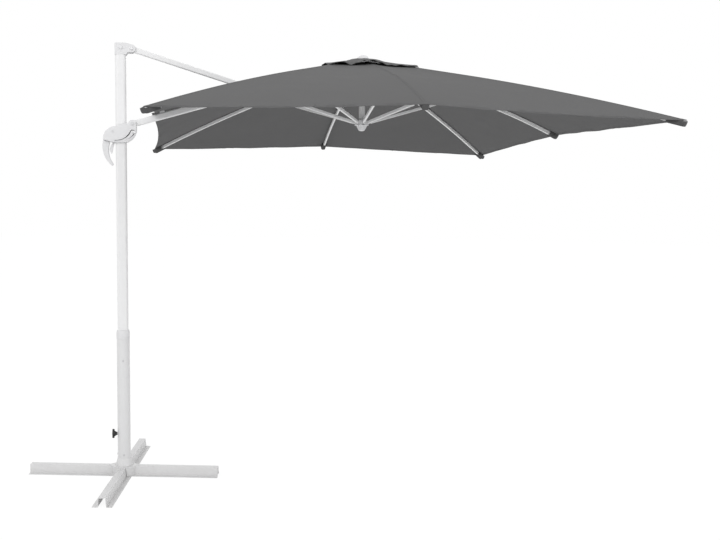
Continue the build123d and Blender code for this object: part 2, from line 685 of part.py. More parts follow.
for shell_name, shell_way in {"near": 1, "far": -1}.items():
    with BuildPart() as slider_shell:
        # outline of one half: ear, back of the hand grip and the belly under the mast's window
        with BuildSketch(slider_side):
            with BuildLine():
                Line((-114, -19), (-22, 5))
                Line((-22, 5), (0, 5))
                Line((0, 5), (22, -5))
                ThreePointArc((22, -5), (10, -69), (-40, -103))
                Line((-40, -103), (-96, -slider_drop))
                Line((-96, -slider_drop), (-122, -99))
                Line((-122, -99), (-160, -88))
                ThreePointArc((-160, -88), (-149, -46), (-114, -19))
            make_face()
            Circle(ear_radius)
            # round the outline's corners, outer ones and inner ones
            offset(amount=shell_edge)
            offset(amount=-2 * shell_edge)
            offset(amount=shell_edge)
        extrude(amount=shell_half * shell_way)
        outer_face = slider_shell.faces().sort_by(Axis.Y)[0 if shell_way > 0 else -1]
        fillet(outer_face.edges(), shell_edge - 1)
        # hollow round the mast and its liner
        with BuildSketch(Plane.XY.offset(shell_low - shell_half)):
            RectangleRounded(cavity_depth, cavity_width, cavity_corner)
        extrude(amount=2 * slider_drop, mode=Mode.SUBTRACT)
        # slot for the boom's tongue
        with BuildSketch(slider_side):
            with Locations((ear_radius, ear_radius / 2)):
                Rectangle(4 * ear_radius - 4, ear_radius * 3)
        extrude(amount=ear_plane_half * shell_way, mode=Mode.SUBTRACT)
        # window that shows the lever's arm
        with BuildSketch(slider_side):
            with BuildLine():
                Line((-98, -90), (-98, -101))
                ThreePointArc((-98, -101), (-28, -88), (9, -60))
                Line((9, -60), (16, -44))
                ThreePointArc((16, -44), (4, -33), (-9, -36))
                ThreePointArc((-9, -36), (-42, -76), (-98, -90))
            make_face()
        extrude(amount=(shell_half + shell_edge) * shell_way, mode=Mode.SUBTRACT)
        # pocket for the brake shoe, and for the handle's tenon
        with BuildSketch(slider_side):
            with Locations((shoe_middle[0] + shoe_pocket / 2, shoe_middle[1])):
                Rectangle(shoe_pocket, shoe_height + 2 * sliding_gap)
        extrude(amount=(shoe_half + sliding_gap) * shell_way, mode=Mode.SUBTRACT)
        with BuildSketch(slider_side):
            with BuildLine():
                Polyline(*tenon_outline, close=True)
            make_face()
            offset(amount=2 * running_gap)
        extrude(amount=(tenon_half + running_gap) * shell_way, mode=Mode.SUBTRACT)
        # room for the lever's arms beside the mast, its bar and its trigger
        arm_room = slider_side.offset((lever_arm_inner - lever_room) * shell_way)
        with BuildSketch(arm_room):
            with BuildLine():
                Polyline(
                    (-112, -110), (-112, -76), (-46, -62), (-12, -30), (8, -34), (15, -52), (-6, -82), (-40, -110),
                    close=True,
                )
            make_face()
        extrude(amount=(lever_arm_outer - lever_arm_inner + 2 * lever_room) * shell_way, mode=Mode.SUBTRACT)
        with BuildSketch(slider_side):
            with BuildLine():
                Polyline(
                    (-112, -110), (-112, -80), (-90, -80), (-90, -100), (-74, -100), (-74, -110), close=True
                )
            make_face()
        extrude(amount=(lever_arm_outer + lever_room) * shell_way, mode=Mode.SUBTRACT)
        with BuildSketch(slider_side):
            with BuildLine():
                Polyline((-130, -112), (-130, -102), (-106, -84), (-90, -84), (-90, -112), close=True)
            make_face()
        extrude(amount=(lever_trigger_half + 1) * shell_way, mode=Mode.SUBTRACT)
        with BuildSketch(slider_side):
            Circle(ear_bolt_radius + running_gap)
            with Locations(lever_spot):
                Circle(lever_pin_radius + running_gap)
            with Locations(second_spot):
                Circle(slider_bolt_radius + running_gap)
        extrude(amount=2 * shell_half * shell_way, mode=Mode.SUBTRACT)
    slider_shell.part.label = f"slider_shell_{shell_name}"
    export_step(slider_shell.part, f"parts/slider_shell_{shell_name}.step")

with BuildPart() as slider_liner:
    with BuildSketch(Plane.XY.offset(shell_low + liner_inset)):
        RectangleRounded(
            cavity_depth - 2 * running_gap, cavity_width - 2 * running_gap, cavity_corner - running_gap
        )
        RectangleRounded(
            mast_depth + 2 * sliding_gap, mast_width + 2 * sliding_gap, mast_corner + sliding_gap, mode=Mode.SUBTRACT
        )
    extrude(amount=liner_height)
    with BuildSketch(slider_side):
        with Locations((shoe_middle[0], shoe_middle[1])):
            Rectangle(4 * liner_wall, shoe_height + 2 * sliding_gap)
    extrude(amount=shoe_half + sliding_gap, both=True, mode=Mode.SUBTRACT)
slider_liner.part.label = "slider_liner"
export_step(slider_liner.part, "parts/slider_liner.step")

with BuildPart() as slider_handle:
    # crescent grip below the shells, and its tenon between them
    with BuildSketch(slider_side):
        with BuildLine():
            Line((-122, -99.4), (-160, -88.4))
            ThreePointArc((-160, -88.4), (-161, -155), (-118, -227))
            ThreePointArc((-118, -227), (-109, -228.5), (-104, -221))
            ThreePointArc((-104, -221), (-128, -165), (-122, -99.4))
        make_face()
        offset(amount=-handle_edge)
        offset(amount=handle_edge)
    extrude(amount=handle_half, both=True)
    fillet(slider_handle.faces().filter_by(Axis.Y).edges(), handle_edge - 1)
    with BuildSketch(slider_side):
        with BuildLine():
            Polyline(*tenon_outline, close=True)
        make_face()
    extrude(amount=tenon_half, both=True)
    with BuildSketch(slider_side):
        with Locations(second_spot):
            Circle(slider_bolt_radius + running_gap)
    extrude(amount=shell_half, both=True, mode=Mode.SUBTRACT)
    # groove that the trigger moves into
    with BuildSketch(slider_side):
        with BuildLine():
            Polyline((-116, -94), (-136, -108), (-145, -146), (-122, -176), (-100, -150), close=True)
        make_face()
    extrude(amount=lever_trigger_half + 1, both=True, mode=Mode.SUBTRACT)
slider_handle.part.label = "slider_handle"
export_step(slider_handle.part, "parts/slider_handle.step")

with BuildPart() as slider_bolts:
    for spot, radius in (((0, 0), ear_bolt_radius), (second_spot, slider_bolt_radius), (lever_spot, lever_pin_radius)):
        with BuildSketch(slider_side):
            with Locations(spot):
                Circle(radius)
        extrude(amount=shell_half, both=True)
    for face_y in (-shell_half, shell_half + bolt_head):
        with BuildSketch(side_plane((head_pivot_x, face_y, slider_pivot_height))):
            Circle(bolt_head_radius)
            with Locations(second_spot):
                Circle(bolt_head_radius - 2)
        extrude(amount=bolt_head)
slider_bolts.part.label = "slider_bolts"
export_step(slider_bolts.part, "parts/slider_bolts.step")

with BuildPart() as release_lever:
    # two arms that pass the mast on both sides
    for arm_start in (-lever_arm_outer, lever_arm_inner):
        arm_side = side_plane((head_pivot_x, arm_start + lever_arm_outer - lever_arm_inner, slider_pivot_height))
        with BuildSketch(arm_side):
            with BuildLine():
                Line((9, -50), (-5, -42))
                ThreePointArc((-5, -42), (-40, -80), (-98, -93))
                Line((-98, -93), (-98, -99))
                ThreePointArc((-98, -99), (-30, -88), (9, -50))
            make_face()
            with Locations(lever_spot):
                Circle(2 * lever_pin_radius)
        extrude(amount=lever_arm_outer - lever_arm_inner)
    # bar across, below the mast's window, and the trigger under it
    with BuildSketch(slider_side):
        with Locations((-99, -96)):
            Rectangle(5, 6)
    extrude(amount=lever_arm_outer, both=True)
    with BuildSketch(slider_side):
        with BuildLine():
            Polyline((-97, -98), (-101, -98), (-118, -116), (-126, -140), (-118, -164), (-112, -160), close=True)
        make_face()
    extrude(amount=lever_trigger_half, both=True)
    with BuildSketch(slider_side):
        with Locations(lever_spot):
            Circle(lever_pin_radius + running_gap)
    extrude(amount=shell_half, both=True, mode=Mode.SUBTRACT)
release_lever.part.label = "release_lever"
export_step(release_lever.part, "parts/release_lever.step")

with BuildPart() as brake_shoe:
    with BuildSketch(slider_side):
        with Locations((shoe_middle[0] + shoe_depth / 2, shoe_middle[1])):
            Rectangle(shoe_depth, shoe_height)
    extrude(amount=shoe_half, both=True)
    fillet(brake_shoe.edges().filter_by(Axis.Y), 2)
brake_shoe.part.label = "brake_shoe"
export_step(brake_shoe.part, "parts/brake_shoe.step")

# ================================================================ crown and runner
rib_azimuths = {
    "east": 0, "northeast": 45, "north": 90, "northwest": 135,
    "southwest": 225, "south": 270, "southeast": 315,
}
strut_azimuths = {**rib_azimuths, "west": 180}

with BuildPart() as crown_hub:
    with BuildSketch(Plane((crown_x, 0, crown_height - hub_below))):
        Circle(hub_radius)
    extrude(amount=hub_above + hub_below)
    with BuildSketch(Plane((crown_x, 0, crown_height - hub_below))):
        Circle(centre_radius - centre_wall - running_gap)
    extrude(amount=-hub_socket)
    for azimuth in strut_azimuths.values():
        slot_width = (boom_crown_tongue if azimuth == 180 else tongue_width) + 2 * slot_gap
        with BuildSketch(Plane(about_crown(azimuth, 0, crown_height - hub_below)).rotated((0, 0, azimuth))):
            with Locations((hub_core + hub_radius / 2, 0)):
                Rectangle(hub_radius, slot_width)
        extrude(amount=hub_above + hub_below, mode=Mode.SUBTRACT)
        with BuildSketch(side_plane(about_crown(azimuth, hub_pivot_radius, crown_height), azimuth)):
            Circle(hub_pin_radius + running_gap)
        extrude(amount=hub_pin_half + running_gap, both=True, mode=Mode.SUBTRACT)
    with BuildSketch(Plane((crown_x, 0, hub_top))):
        Circle(finial_spigot + running_gap)
    extrude(amount=-finial_depth, mode=Mode.SUBTRACT)
crown_hub.part.label = "crown_hub"
export_step(crown_hub.part, "parts/crown_hub.step")

with BuildPart() as crown_pins:
    for azimuth in strut_azimuths.values():
        with BuildSketch(side_plane(about_crown(azimuth, hub_pivot_radius, crown_height), azimuth)):
            Circle(hub_pin_radius)
        extrude(amount=hub_pin_half, both=True)
crown_pins.part.label = "crown_pins"
export_step(crown_pins.part, "parts/crown_pins.step")

cap_base = hub_top + cloth_thickness + 2 * seat_gap
crown_axis = Axis((crown_x, 0, 0), (0, 0, 1))
dome_rise = finial_height - finial_rim
dome_radius = (finial_radius**2 + dome_rise**2) / (2 * dome_rise)
dome_half_turn = asin(finial_radius / dome_radius) / 2
with BuildPart() as finial:
    with BuildSketch(Plane((crown_x, 0, cap_base), x_dir=(1, 0, 0), z_dir=(0, -1, 0))):
        with BuildLine():
            Polyline(
                (0, finial_height),
                (0, -finial_depth),
                (finial_spigot, -finial_depth),
                (finial_spigot, 0),
                (finial_radius, 0),
                (finial_radius, finial_rim),
            )
            ThreePointArc(
                (finial_radius, finial_rim),
                (dome_radius * sin(dome_half_turn), finial_height - dome_radius * (1 - cos(dome_half_turn))),
                (0, finial_height),
            )
        make_face()
    revolve(axis=crown_axis)
finial.part.label = "finial"
export_step(finial.part, "parts/finial.step")

tube_top = crown_height - hub_below
socket_floor = runner_height + runner_above - socket_depth
with BuildPart() as centre_tube:
    with BuildSketch(Plane((crown_x, 0, socket_floor + seat_gap))):
        Circle(centre_radius)
        Circle(centre_radius - centre_wall, mode=Mode.SUBTRACT)
    extrude(amount=tube_top - socket_floor - seat_gap)
centre_tube.part.label = "centre_tube"
export_step(centre_tube.part, "parts/centre_tube.step")

with BuildPart() as runner_hub:
    with BuildSketch(Plane((crown_x, 0, runner_height - hub_below))):
        Circle(hub_radius)
    extrude(amount=hub_below + runner_above)
    with BuildSketch(Plane((crown_x, 0, runner_height - hub_below))):
        Circle(hub_radius * 0.8)
    extrude(amount=-runner_dome, taper=28)
    fillet(runner_hub.edges().group_by(Axis.Z)[0], hub_radius * 0.3)
    for azimuth in strut_azimuths.values():
        slot_plane = Plane(about_crown(azimuth, 0, runner_height - hub_below)).rotated((0, 0, azimuth))
        with BuildSketch(slot_plane):
            with Locations((hub_core + hub_radius / 2, 0)):
                Rectangle(hub_radius, tongue_width + 2 * slot_gap)
        extrude(amount=hub_below + runner_above, mode=Mode.SUBTRACT)
        with BuildSketch(side_plane(about_crown(azimuth, hub_pivot_radius, runner_height), azimuth)):
            Circle(hub_pin_radius + running_gap)
        extrude(amount=hub_pin_half + running_gap, both=True, mode=Mode.SUBTRACT)
    with BuildSketch(Plane((crown_x, 0, socket_floor))):
        Circle(centre_radius + socket_gap)
    extrude(amount=2 * socket_depth, mode=Mode.SUBTRACT)
runner_hub.part.label = "runner_hub"
export_step(runner_hub.part, "parts/runner_hub.step")

with BuildPart() as runner_pins:
    for azimuth in strut_azimuths.values():
        with BuildSketch(side_plane(about_crown(azimuth, hub_pivot_radius, runner_height), azimuth)):
            Circle(hub_pin_radius)
        extrude(amount=hub_pin_half, both=True)
runner_pins.part.label = "runner_pins"
export_step(runner_pins.part, "parts/runner_pins.step")

# ================================================================ ribs


def is_corner(azimuth):
    """Whether a rib runs to one of the canopy's corners."""
    return azimuth % 90 != 0


def rib_slope(azimuth):
    """Slope of a rib where it leaves the crown, degrees."""
    return corner_rib_slope if is_corner(azimuth) else open_slope


def rib_tip(azimuth):
    """End of a rib's axis in the rib's own plane: along its first run, and above it."""
    reach = canopy_half_side * sqrt(2) if is_corner(azimuth) else mid_tip_reach
    height = corner_height if is_corner(azimuth) else mid_tip_height
    out = reach - rib_tip_inset - hub_pivot_radius
    up = height - rib_depth / 2 - 2 * cloth_gap - crown_height
    s = radians(rib_slope(azimuth))
    return out * cos(s) - up * sin(s), out * sin(s) + up * cos(s)


def bow_radius(azimuth):
    """Radius of the bow beyond the strut joint."""
    along, above = rib_tip(azimuth)
    run = along - rib_reach
    return (run * run + above * above) / (-2 * above)


def rib_point(azimuth, along, above=0.0):
    """Radius and height of a point above a rib's axis; the west rib is the boom and stays straight."""
    drop = 0.0
    if azimuth != 180 and along > rib_reach:
        bow = bow_radius(azimuth)
        drop = bow - sqrt(bow * bow - (along - rib_reach) ** 2)
    s = radians(rib_slope(azimuth))
    out = hub_pivot_radius + along * cos(s) + (above - drop) * sin(s)
    return out, crown_height - along * sin(s) + (above - drop) * cos(s)


for rib_name, rib_azimuth in rib_azimuths.items():
    slope = rib_slope(rib_azimuth)
    crown_pivot = about_crown(rib_azimuth, hub_pivot_radius, crown_height)
    side = side_plane(crown_pivot, rib_azimuth, -slope)
    tip_along, tip_above = rib_tip(rib_azimuth)
    bow = bow_radius(rib_azimuth)
    half_turn = asin((tip_along - rib_reach) / bow) / 2
    bow_middle = (rib_reach + bow * sin(half_turn), -bow * (1 - cos(half_turn)))
    pin_spot = (rib_reach, 0)
    if is_corner(rib_azimuth):
        pin_spot = (sqrt(rib_reach**2 - pin_drop**2), -pin_drop)
    with BuildPart() as rib:
        with BuildLine(side) as spine:
            Line((rib_start, 0), (rib_reach, 0))
            ThreePointArc((rib_reach, 0), bow_middle, (tip_along, tip_above))
        with BuildSketch(cross_plane(crown_pivot, rib_azimuth, -slope, rib_start)):
            RectangleRounded(rib_depth, rib_width, rib_corner)
            RectangleRounded(
                rib_depth - 2 * rib_wall, rib_width - 2 * rib_wall, rib_corner - rib_wall, mode=Mode.SUBTRACT
            )
        sweep(path=spine.line)
        if not is_corner(rib_azimuth):
            with BuildSketch(side):
                with Locations(pin_spot):
                    Circle(rib_pin_radius + running_gap)
            extrude(amount=rib_width, both=True, mode=Mode.SUBTRACT)
    rib.part.label = f"rib_{rib_name}"
    export_step(rib.part, f"parts/rib_{rib_name}.step")

    end_turn = degrees(2 * half_turn)
    tip_out, tip_height = rib_point(rib_azimuth, rib_reach + bow * sin(2 * half_turn))
    tip_plane = cross_plane(
        about_crown(rib_azimuth, tip_out, tip_height), rib_azimuth, -slope - end_turn, seat_gap / 3
    )
    with BuildPart() as rib_fittings:
        # crown tongue with its plug
        with BuildSketch(side):
            Circle(tongue_depth / 2)
            with Locations((rib_start / 2, 0)):
                Rectangle(rib_start, tongue_depth)
        extrude(amount=tongue_width / 2, both=True)
        with BuildSketch(cross_plane(crown_pivot, rib_azimuth, -slope, rib_start)):
            RectangleRounded(
                rib_depth - 2 * rib_wall - 2 * running_gap,
                rib_width - 2 * rib_wall - 2 * running_gap,
                rib_corner - rib_wall - running_gap,
            )
        extrude(amount=plug_length)
        with BuildSketch(side):
            Circle(hub_pin_radius + running_gap)
        extrude(amount=rib_width, both=True, mode=Mode.SUBTRACT)
        # cap on the tip, in the hem's pocket
        with BuildSketch(tip_plane):
            RectangleRounded(rib_depth, rib_width, rib_corner)
        extrude(amount=tip_cap)
        if is_corner(rib_azimuth):
            # yoke round the rib, with a lug for the strut's fork
            with BuildSketch(side):
                with Locations((pin_spot[0], -yoke_collar / 2 - cloth_gap)):
                    Rectangle(yoke_length, rib_depth + yoke_collar)
            extrude(amount=rib_width / 2 + yoke_collar, both=True)
            with BuildSketch(cross_plane(crown_pivot, rib_azimuth, -slope, pin_spot[0] - yoke_length)):
                Rectangle(rib_depth + 2 * running_gap, rib_width + 2 * running_gap)
            extrude(amount=2 * yoke_length, mode=Mode.SUBTRACT)
            with BuildSketch(side):
                with Locations(pin_spot):
                    Circle(strut_depth / 2)
                with BuildLine():
                    Polyline(
                        (pin_spot[0] - strut_depth / 2, -pin_drop),
                        (pin_spot[0] - yoke_length / 2, -rib_depth / 2 - yoke_collar / 2),
                        (pin_spot[0] + yoke_length / 2, -rib_depth / 2 - yoke_collar / 2),
                        (pin_spot[0] + strut_depth / 2, -pin_drop),
                        close=True,
                    )
                make_face()
            extrude(amount=rib_width / 2, both=True)
            with BuildSketch(side):
                with Locations(pin_spot):
                    Circle(rib_pin_radius + running_gap)
            extrude(amount=rib_width, both=True, mode=Mode.SUBTRACT)
        fork_half = strut_width / 2 + strut_plate + seat_gap
        with BuildSketch(side):
            with Locations(pin_spot):
                Circle(rib_pin_radius)
        extrude(amount=fork_half, both=True)
        for head_start in (-fork_half - strut_plate, fork_half):
            head_plane = side.offset(head_start)
            with BuildSketch(head_plane):
                with Locations(pin_spot):
                    Circle(2 * rib_pin_radius)
            extrude(amount=strut_plate)
    rib_fittings.part.label = f"rib_fittings_{rib_name}"
    export_step(rib_fittings.part, f"parts/rib_fittings_{rib_name}.step")

# ================================================================ struts
for strut_name, strut_azimuth in strut_azimuths.items():
    is_west = strut_azimuth == 180
    plate_inner = west_plate_inner if is_west else strut_width / 2
    root = west_strut_root if is_west else strut_root
    runner_pivot = about_crown(strut_azimuth, hub_pivot_radius, runner_height)
    side = side_plane(runner_pivot, strut_azimuth, open_slope)
    with BuildPart() as strut:
        with BuildSketch(cross_plane(runner_pivot, strut_azimuth, open_slope, rib_start)):
            RectangleRounded(strut_depth, strut_width, strut_corner)
            RectangleRounded(
                strut_depth - 2 * strut_wall,
                strut_width - 2 * strut_wall,
                strut_corner - strut_wall,
                mode=Mode.SUBTRACT,
            )
        extrude(amount=rib_reach - root - rib_start)
        # closed end and tongue at the runner
        with BuildSketch(cross_plane(runner_pivot, strut_azimuth, open_slope, rib_start)):
            RectangleRounded(strut_depth, strut_width, strut_corner)
        extrude(amount=tongue_width)
        with BuildSketch(side):
            Circle(tongue_depth / 2)
            with Locations((rib_start, 0)):
                Rectangle(2 * rib_start, tongue_depth)
        extrude(amount=tongue_width / 2, both=True)
        if is_west:
            with BuildSketch(side):
                with Locations((rib_reach - root - fork_block / 2, 0)):
                    Rectangle(fork_block, strut_depth)
            extrude(amount=plate_inner + strut_plate, both=True)
        # fork plates either side of the rib
        plate_start = rib_reach - root - (fork_block if is_west else strut_lap)
        for plate_from in (-plate_inner - strut_plate, plate_inner):
            with BuildSketch(side.offset(plate_from)):
                with Locations(((plate_start + rib_reach) / 2, 0)):
                    Rectangle(rib_reach - plate_start, strut_depth)
                with Locations((rib_reach, 0)):
                    Circle(strut_depth / 2)
            extrude(amount=strut_plate)
        with BuildSketch(side):
            Circle(hub_pin_radius + running_gap)
            with Locations((rib_reach, 0)):
                Circle((joint_pin_radius if is_west else rib_pin_radius) + running_gap)
        extrude(amount=boom_width, both=True, mode=Mode.SUBTRACT)
    strut.part.label = f"strut_{strut_name}"
    export_step(strut.part, f"parts/strut_{strut_name}.step")

# ================================================================ canopy


def cloth_point(azimuth, share, lift=0.0):
    """Point of the cloth's underside over a rib, at a share of the rib's length."""
    if azimuth == 180:
        tip = (mid_tip_reach - hub_pivot_radius) / cos(rise)
        above = boom_depth / 2 + clip_height * share + cloth_gap
    else:
        tip = rib_reach + bow_radius(azimuth) * sin(asin((rib_tip(azimuth)[0] - rib_reach) / bow_radius(azimuth)))
        tip = tip + rib_tip_inset
        above = rib_depth / 2 + cloth_gap
    out, height = rib_point(azimuth, tip * share, above)
    return Vector(*about_crown(azimuth, out, height + lift))


def ring_points(share, lift, scallop=1.0):
    """One ring of the cloth: a point over each rib and one between each pair."""
    ribs = [cloth_point(azimuth, share, lift) for azimuth in range(0, 360, 45)]
    points = []
    for index, here in enumerate(ribs):
        after = ribs[(index + 1) % len(ribs)]
        middle = (here + after) * 0.5
        inward = Vector(crown_x, 0, middle.Z)
        points += [here, inward + (middle - inward) * scallop]
    return points


def cloth_solid(rings, thickness):
    """Closed solid of a cloth between its rings, as thick as the cloth, made of flat triangles."""
    up = Vector(0, 0, thickness)
    tops = [[p + up for p in ring] for ring in rings]
    count = len(rings[0])
    corners = []
    for index in range(count):
        after = (index + 1) % count
        for level in range(len(rings) - 1):
            for sheet in (rings, tops):
                a, b = sheet[level][index], sheet[level][after]
                c, d = sheet[level + 1][after], sheet[level + 1][index]
                corners += [(a, b, c), (a, c, d)]
        for level in (0, len(rings) - 1):
            a, b = rings[level][index], rings[level][after]
            c, d = tops[level][after], tops[level][index]
            corners += [(a, b, c), (a, c, d)]
    faces = [Face(Wire.make_polygon(list(three))) for three in corners]
    return Solid(Shell(faces))


main_rings = [ring_points(share, 0.0) for share in (vent_opening, 0.32, 0.5, 0.64, 0.76, 0.88)]
main_rings.append(ring_points(1.0, 0.0, edge_scallop))
main_cloth = cloth_solid(main_rings, cloth_thickness)
with BuildPart() as canopy_cloth:
    add(main_cloth)
    # slit for the stay's fork, lengthways over the boom
    slit_x = head_pivot_x + linkage_length * cos(rise)
    with BuildSketch(Plane((slit_x, 0, crown_height - canopy_half_side))):
        SlotOverall(slit_length, slit_width)
    extrude(amount=2 * canopy_half_side, mode=Mode.SUBTRACT)
canopy_cloth.part.label = "canopy_cloth"
export_step(canopy_cloth.part, "parts/canopy_cloth.step")

vent_flat = [
    [Vector(*about_crown(22.5 * step, radius, hub_top + seat_gap)) for step in range(16)]
    for radius in (finial_spigot + screw_gap, hub_radius + hub_collar_cloth, hub_radius + hub_cloth_reach)
]
vent_rings = vent_flat + [ring_points(share, vent_lift) for share in (0.15, vent_reach)]
vent_solid = cloth_solid(vent_rings, cloth_thickness)
with BuildPart() as vent_cloth:
    add(vent_solid)
vent_cloth.part.label = "vent_cloth"
export_step(vent_cloth.part, "parts/vent_cloth.step")
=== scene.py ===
"""Cantilever parasol: cloth, finishes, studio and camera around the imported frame."""

import json
import logging
import math
from dataclasses import dataclass, field
from enum import Enum
from typing import Callable, Iterable, Sequence

import bpy
from mathutils import Matrix, Vector, noise


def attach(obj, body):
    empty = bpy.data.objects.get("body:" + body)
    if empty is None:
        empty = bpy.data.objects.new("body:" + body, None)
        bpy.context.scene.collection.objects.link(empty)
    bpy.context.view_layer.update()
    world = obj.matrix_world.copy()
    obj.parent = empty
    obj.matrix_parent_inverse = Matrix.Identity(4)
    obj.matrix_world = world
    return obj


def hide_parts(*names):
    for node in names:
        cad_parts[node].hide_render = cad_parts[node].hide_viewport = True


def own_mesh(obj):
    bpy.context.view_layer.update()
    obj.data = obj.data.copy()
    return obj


logging.basicConfig(level=logging.INFO, format="%(message)s")
LOG = logging.getLogger("parasol")

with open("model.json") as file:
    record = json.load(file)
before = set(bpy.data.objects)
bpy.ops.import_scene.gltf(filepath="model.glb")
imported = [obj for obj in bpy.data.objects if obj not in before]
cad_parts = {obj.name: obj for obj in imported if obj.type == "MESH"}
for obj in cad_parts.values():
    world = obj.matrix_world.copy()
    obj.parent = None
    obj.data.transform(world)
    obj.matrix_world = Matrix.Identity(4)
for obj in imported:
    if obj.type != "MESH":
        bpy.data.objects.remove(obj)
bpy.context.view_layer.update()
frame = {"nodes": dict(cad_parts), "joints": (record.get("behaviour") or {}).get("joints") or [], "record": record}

Row = list[Vector]
RIB_NAMES = {
    0: "east", 45: "northeast", 90: "north", 135: "northwest",
    180: "west", 225: "southwest", 270: "south", 315: "southeast",
}
UP = Vector((0.0, 0.0, 1.0))
HALF_GORE = 22.5  # degrees from a rib to the edge of its gore
WHITE = (1.0, 1.0, 1.0, 1.0)


class Side(Enum):
    """Which face of the cloth a detail is sewn on."""

    OUTSIDE = 1.0
    UNDERSIDE = -1.0


def joint_place(name: str) -> Vector:
    """Where a joint of the frame sits at rest.

    Args:
        name: the joint's name.

    Returns:
        Its position in metres.
    """
    return next(Vector(joint["pos_m"]) for joint in frame["joints"] if joint["name"] == name)


def smooth_step(value: float, low: float, high: float) -> float:
    """Rise smoothly from 0 at low to 1 at high.

    Args:
        value: where to read the curve.
        low: start of the rise.
        high: end of the rise.

    Returns:
        The curve's height, 0 to 1.
    """
    share = min(1.0, max(0.0, (value - low) / (high - low)))
    return share * share * (3.0 - 2.0 * share)


# ---------------------------------------------------------------- shader groups


class ShaderGroup:
    """A node group for shading, with its sockets and a short way to add nodes."""

    def __init__(self, name: str, inputs: dict[str, float], outputs: dict[str, str]) -> None:
        """Make the empty group.

        Args:
            name: the group's name.
            inputs: each value input and what it is until it is set.
            outputs: each output's name and socket type.
        """
        self.tree = bpy.data.node_groups.new(name, "ShaderNodeTree")
        self.tree.interface.new_socket("Position", in_out="INPUT", socket_type="NodeSocketVector")
        for key, value in inputs.items():
            socket = self.tree.interface.new_socket(key, in_out="INPUT", socket_type="NodeSocketFloat")
            socket.default_value = value
        for key, kind in outputs.items():
            self.tree.interface.new_socket(key, in_out="OUTPUT", socket_type=kind)
        self.entry = self.tree.nodes.new("NodeGroupInput")
        self.exit = self.tree.nodes.new("NodeGroupOutput")

    def node(self, kind: str, **settings: object) -> bpy.types.Node:
        """Add a node and set its properties.

        Args:
            kind: the node's type.
            settings: the properties and their values.

        Returns:
            The node.
        """
        made = self.tree.nodes.new(kind)
        for key, value in settings.items():
            setattr(made, key, value)
        return made

    def join(self, start: bpy.types.NodeSocket, end: bpy.types.NodeSocket) -> None:
        """Link one socket to another."""
        self.tree.links.new(start, end)

    def maths(self, operation: str, first: object, second: object = 0.0) -> bpy.types.NodeSocket:
        """Add a Math node.

        Args:
            operation: the Math node's operation.
            first: a socket or a number.
            second: a socket or a number.

        Returns:
            The result's socket.
        """
        made = self.node("ShaderNodeMath", operation=operation)
        for place, value in enumerate((first, second)):
            if isinstance(value, bpy.types.NodeSocket):
                self.join(value, made.inputs[place])
            else:
                made.inputs[place].default_value = value
        return made.outputs[0]

    def noise(self, scale: object, detail: float = 3.0, roughness: float = 0.55) -> bpy.types.NodeSocket:
        """Add a noise read at the group's position.

        Args:
            scale: a socket or a number.
            detail: number of finer layers.
            roughness: weight of the finer layers.

        Returns:
            The factor's socket.
        """
        made = self.node("ShaderNodeTexNoise")
        made.inputs["Detail"].default_value = detail
        made.inputs["Roughness"].default_value = roughness
        self.join(self.entry.outputs["Position"], made.inputs["Vector"])
        if isinstance(scale, bpy.types.NodeSocket):
            self.join(scale, made.inputs["Scale"])
        else:
            made.inputs["Scale"].default_value = scale
        return made.outputs["Fac"]

    def centred(self, factor: bpy.types.NodeSocket, amount: object) -> bpy.types.NodeSocket:
        """Turn a 0 to 1 factor into plus or minus half an amount."""
        return self.maths("MULTIPLY", self.maths("SUBTRACT", factor, 0.5), amount)


def grain_group() -> bpy.types.NodeTree:
    """Fine grain of a coating or a moulding: slow tone shifts, and a fine height.

    Returns:
        The group's tree.
    """
    group = ShaderGroup(
        "surface_grain",
        {"Grain Scale": 900.0, "Tone": 0.04},
        {"Tone": "NodeSocketFloat", "Height": "NodeSocketFloat"},
    )
    group.join(group.centred(group.noise(7.0), group.entry.outputs["Tone"]), group.exit.inputs["Tone"])
    group.join(group.noise(group.entry.outputs["Grain Scale"], 1.0), group.exit.inputs["Height"])
    return group.tree


def dust_group() -> bpy.types.NodeTree:
    """Dust and scuffs that thin out with height above the floor.

    Returns:
        The group's tree.
    """
    group = ShaderGroup("floor_dust", {"Reach": 0.12}, {"Mask": "NodeSocketFloat"})
    split = group.node("ShaderNodeSeparateXYZ")
    group.join(group.entry.outputs["Position"], split.inputs[0])
    fall = group.maths("DIVIDE", split.outputs["Z"], group.entry.outputs["Reach"])
    near = group.node("ShaderNodeClamp")
    group.join(group.maths("SUBTRACT", 1.0, fall), near.inputs["Value"])
    spots = group.maths("MULTIPLY", near.outputs[0], group.noise(38.0, 5.0))
    group.join(spots, group.exit.inputs["Mask"])
    return group.tree


def weave_group() -> bpy.types.NodeTree:
    """Plain weave: crossed threads as a height, and slubs as a tone.

    Returns:
        The group's tree.
    """
    group = ShaderGroup(
        "plain_weave",
        {"Threads": 1100.0, "Tone": 0.1},
        {"Tone": "NodeSocketFloat", "Height": "NodeSocketFloat"},
    )
    waves = []
    for direction in ("X", "Y"):
        wave = group.node("ShaderNodeTexWave", wave_type="BANDS", bands_direction=direction)
        wave.inputs["Distortion"].default_value = 0.6
        wave.inputs["Detail"].default_value = 1.0
        group.join(group.entry.outputs["Position"], wave.inputs["Vector"])
        group.join(group.entry.outputs["Threads"], wave.inputs["Scale"])
        waves.append(wave.outputs["Fac"])
    group.join(group.maths("MAXIMUM", waves[0], waves[1]), group.exit.inputs["Height"])
    slubs = group.maths("ADD", group.noise(3.0, 4.0), group.centred(group.noise(140.0, 2.0), 0.7))
    group.join(group.centred(slubs, group.entry.outputs["Tone"]), group.exit.inputs["Tone"])
    return group.tree


# ---------------------------------------------------------------- finishes


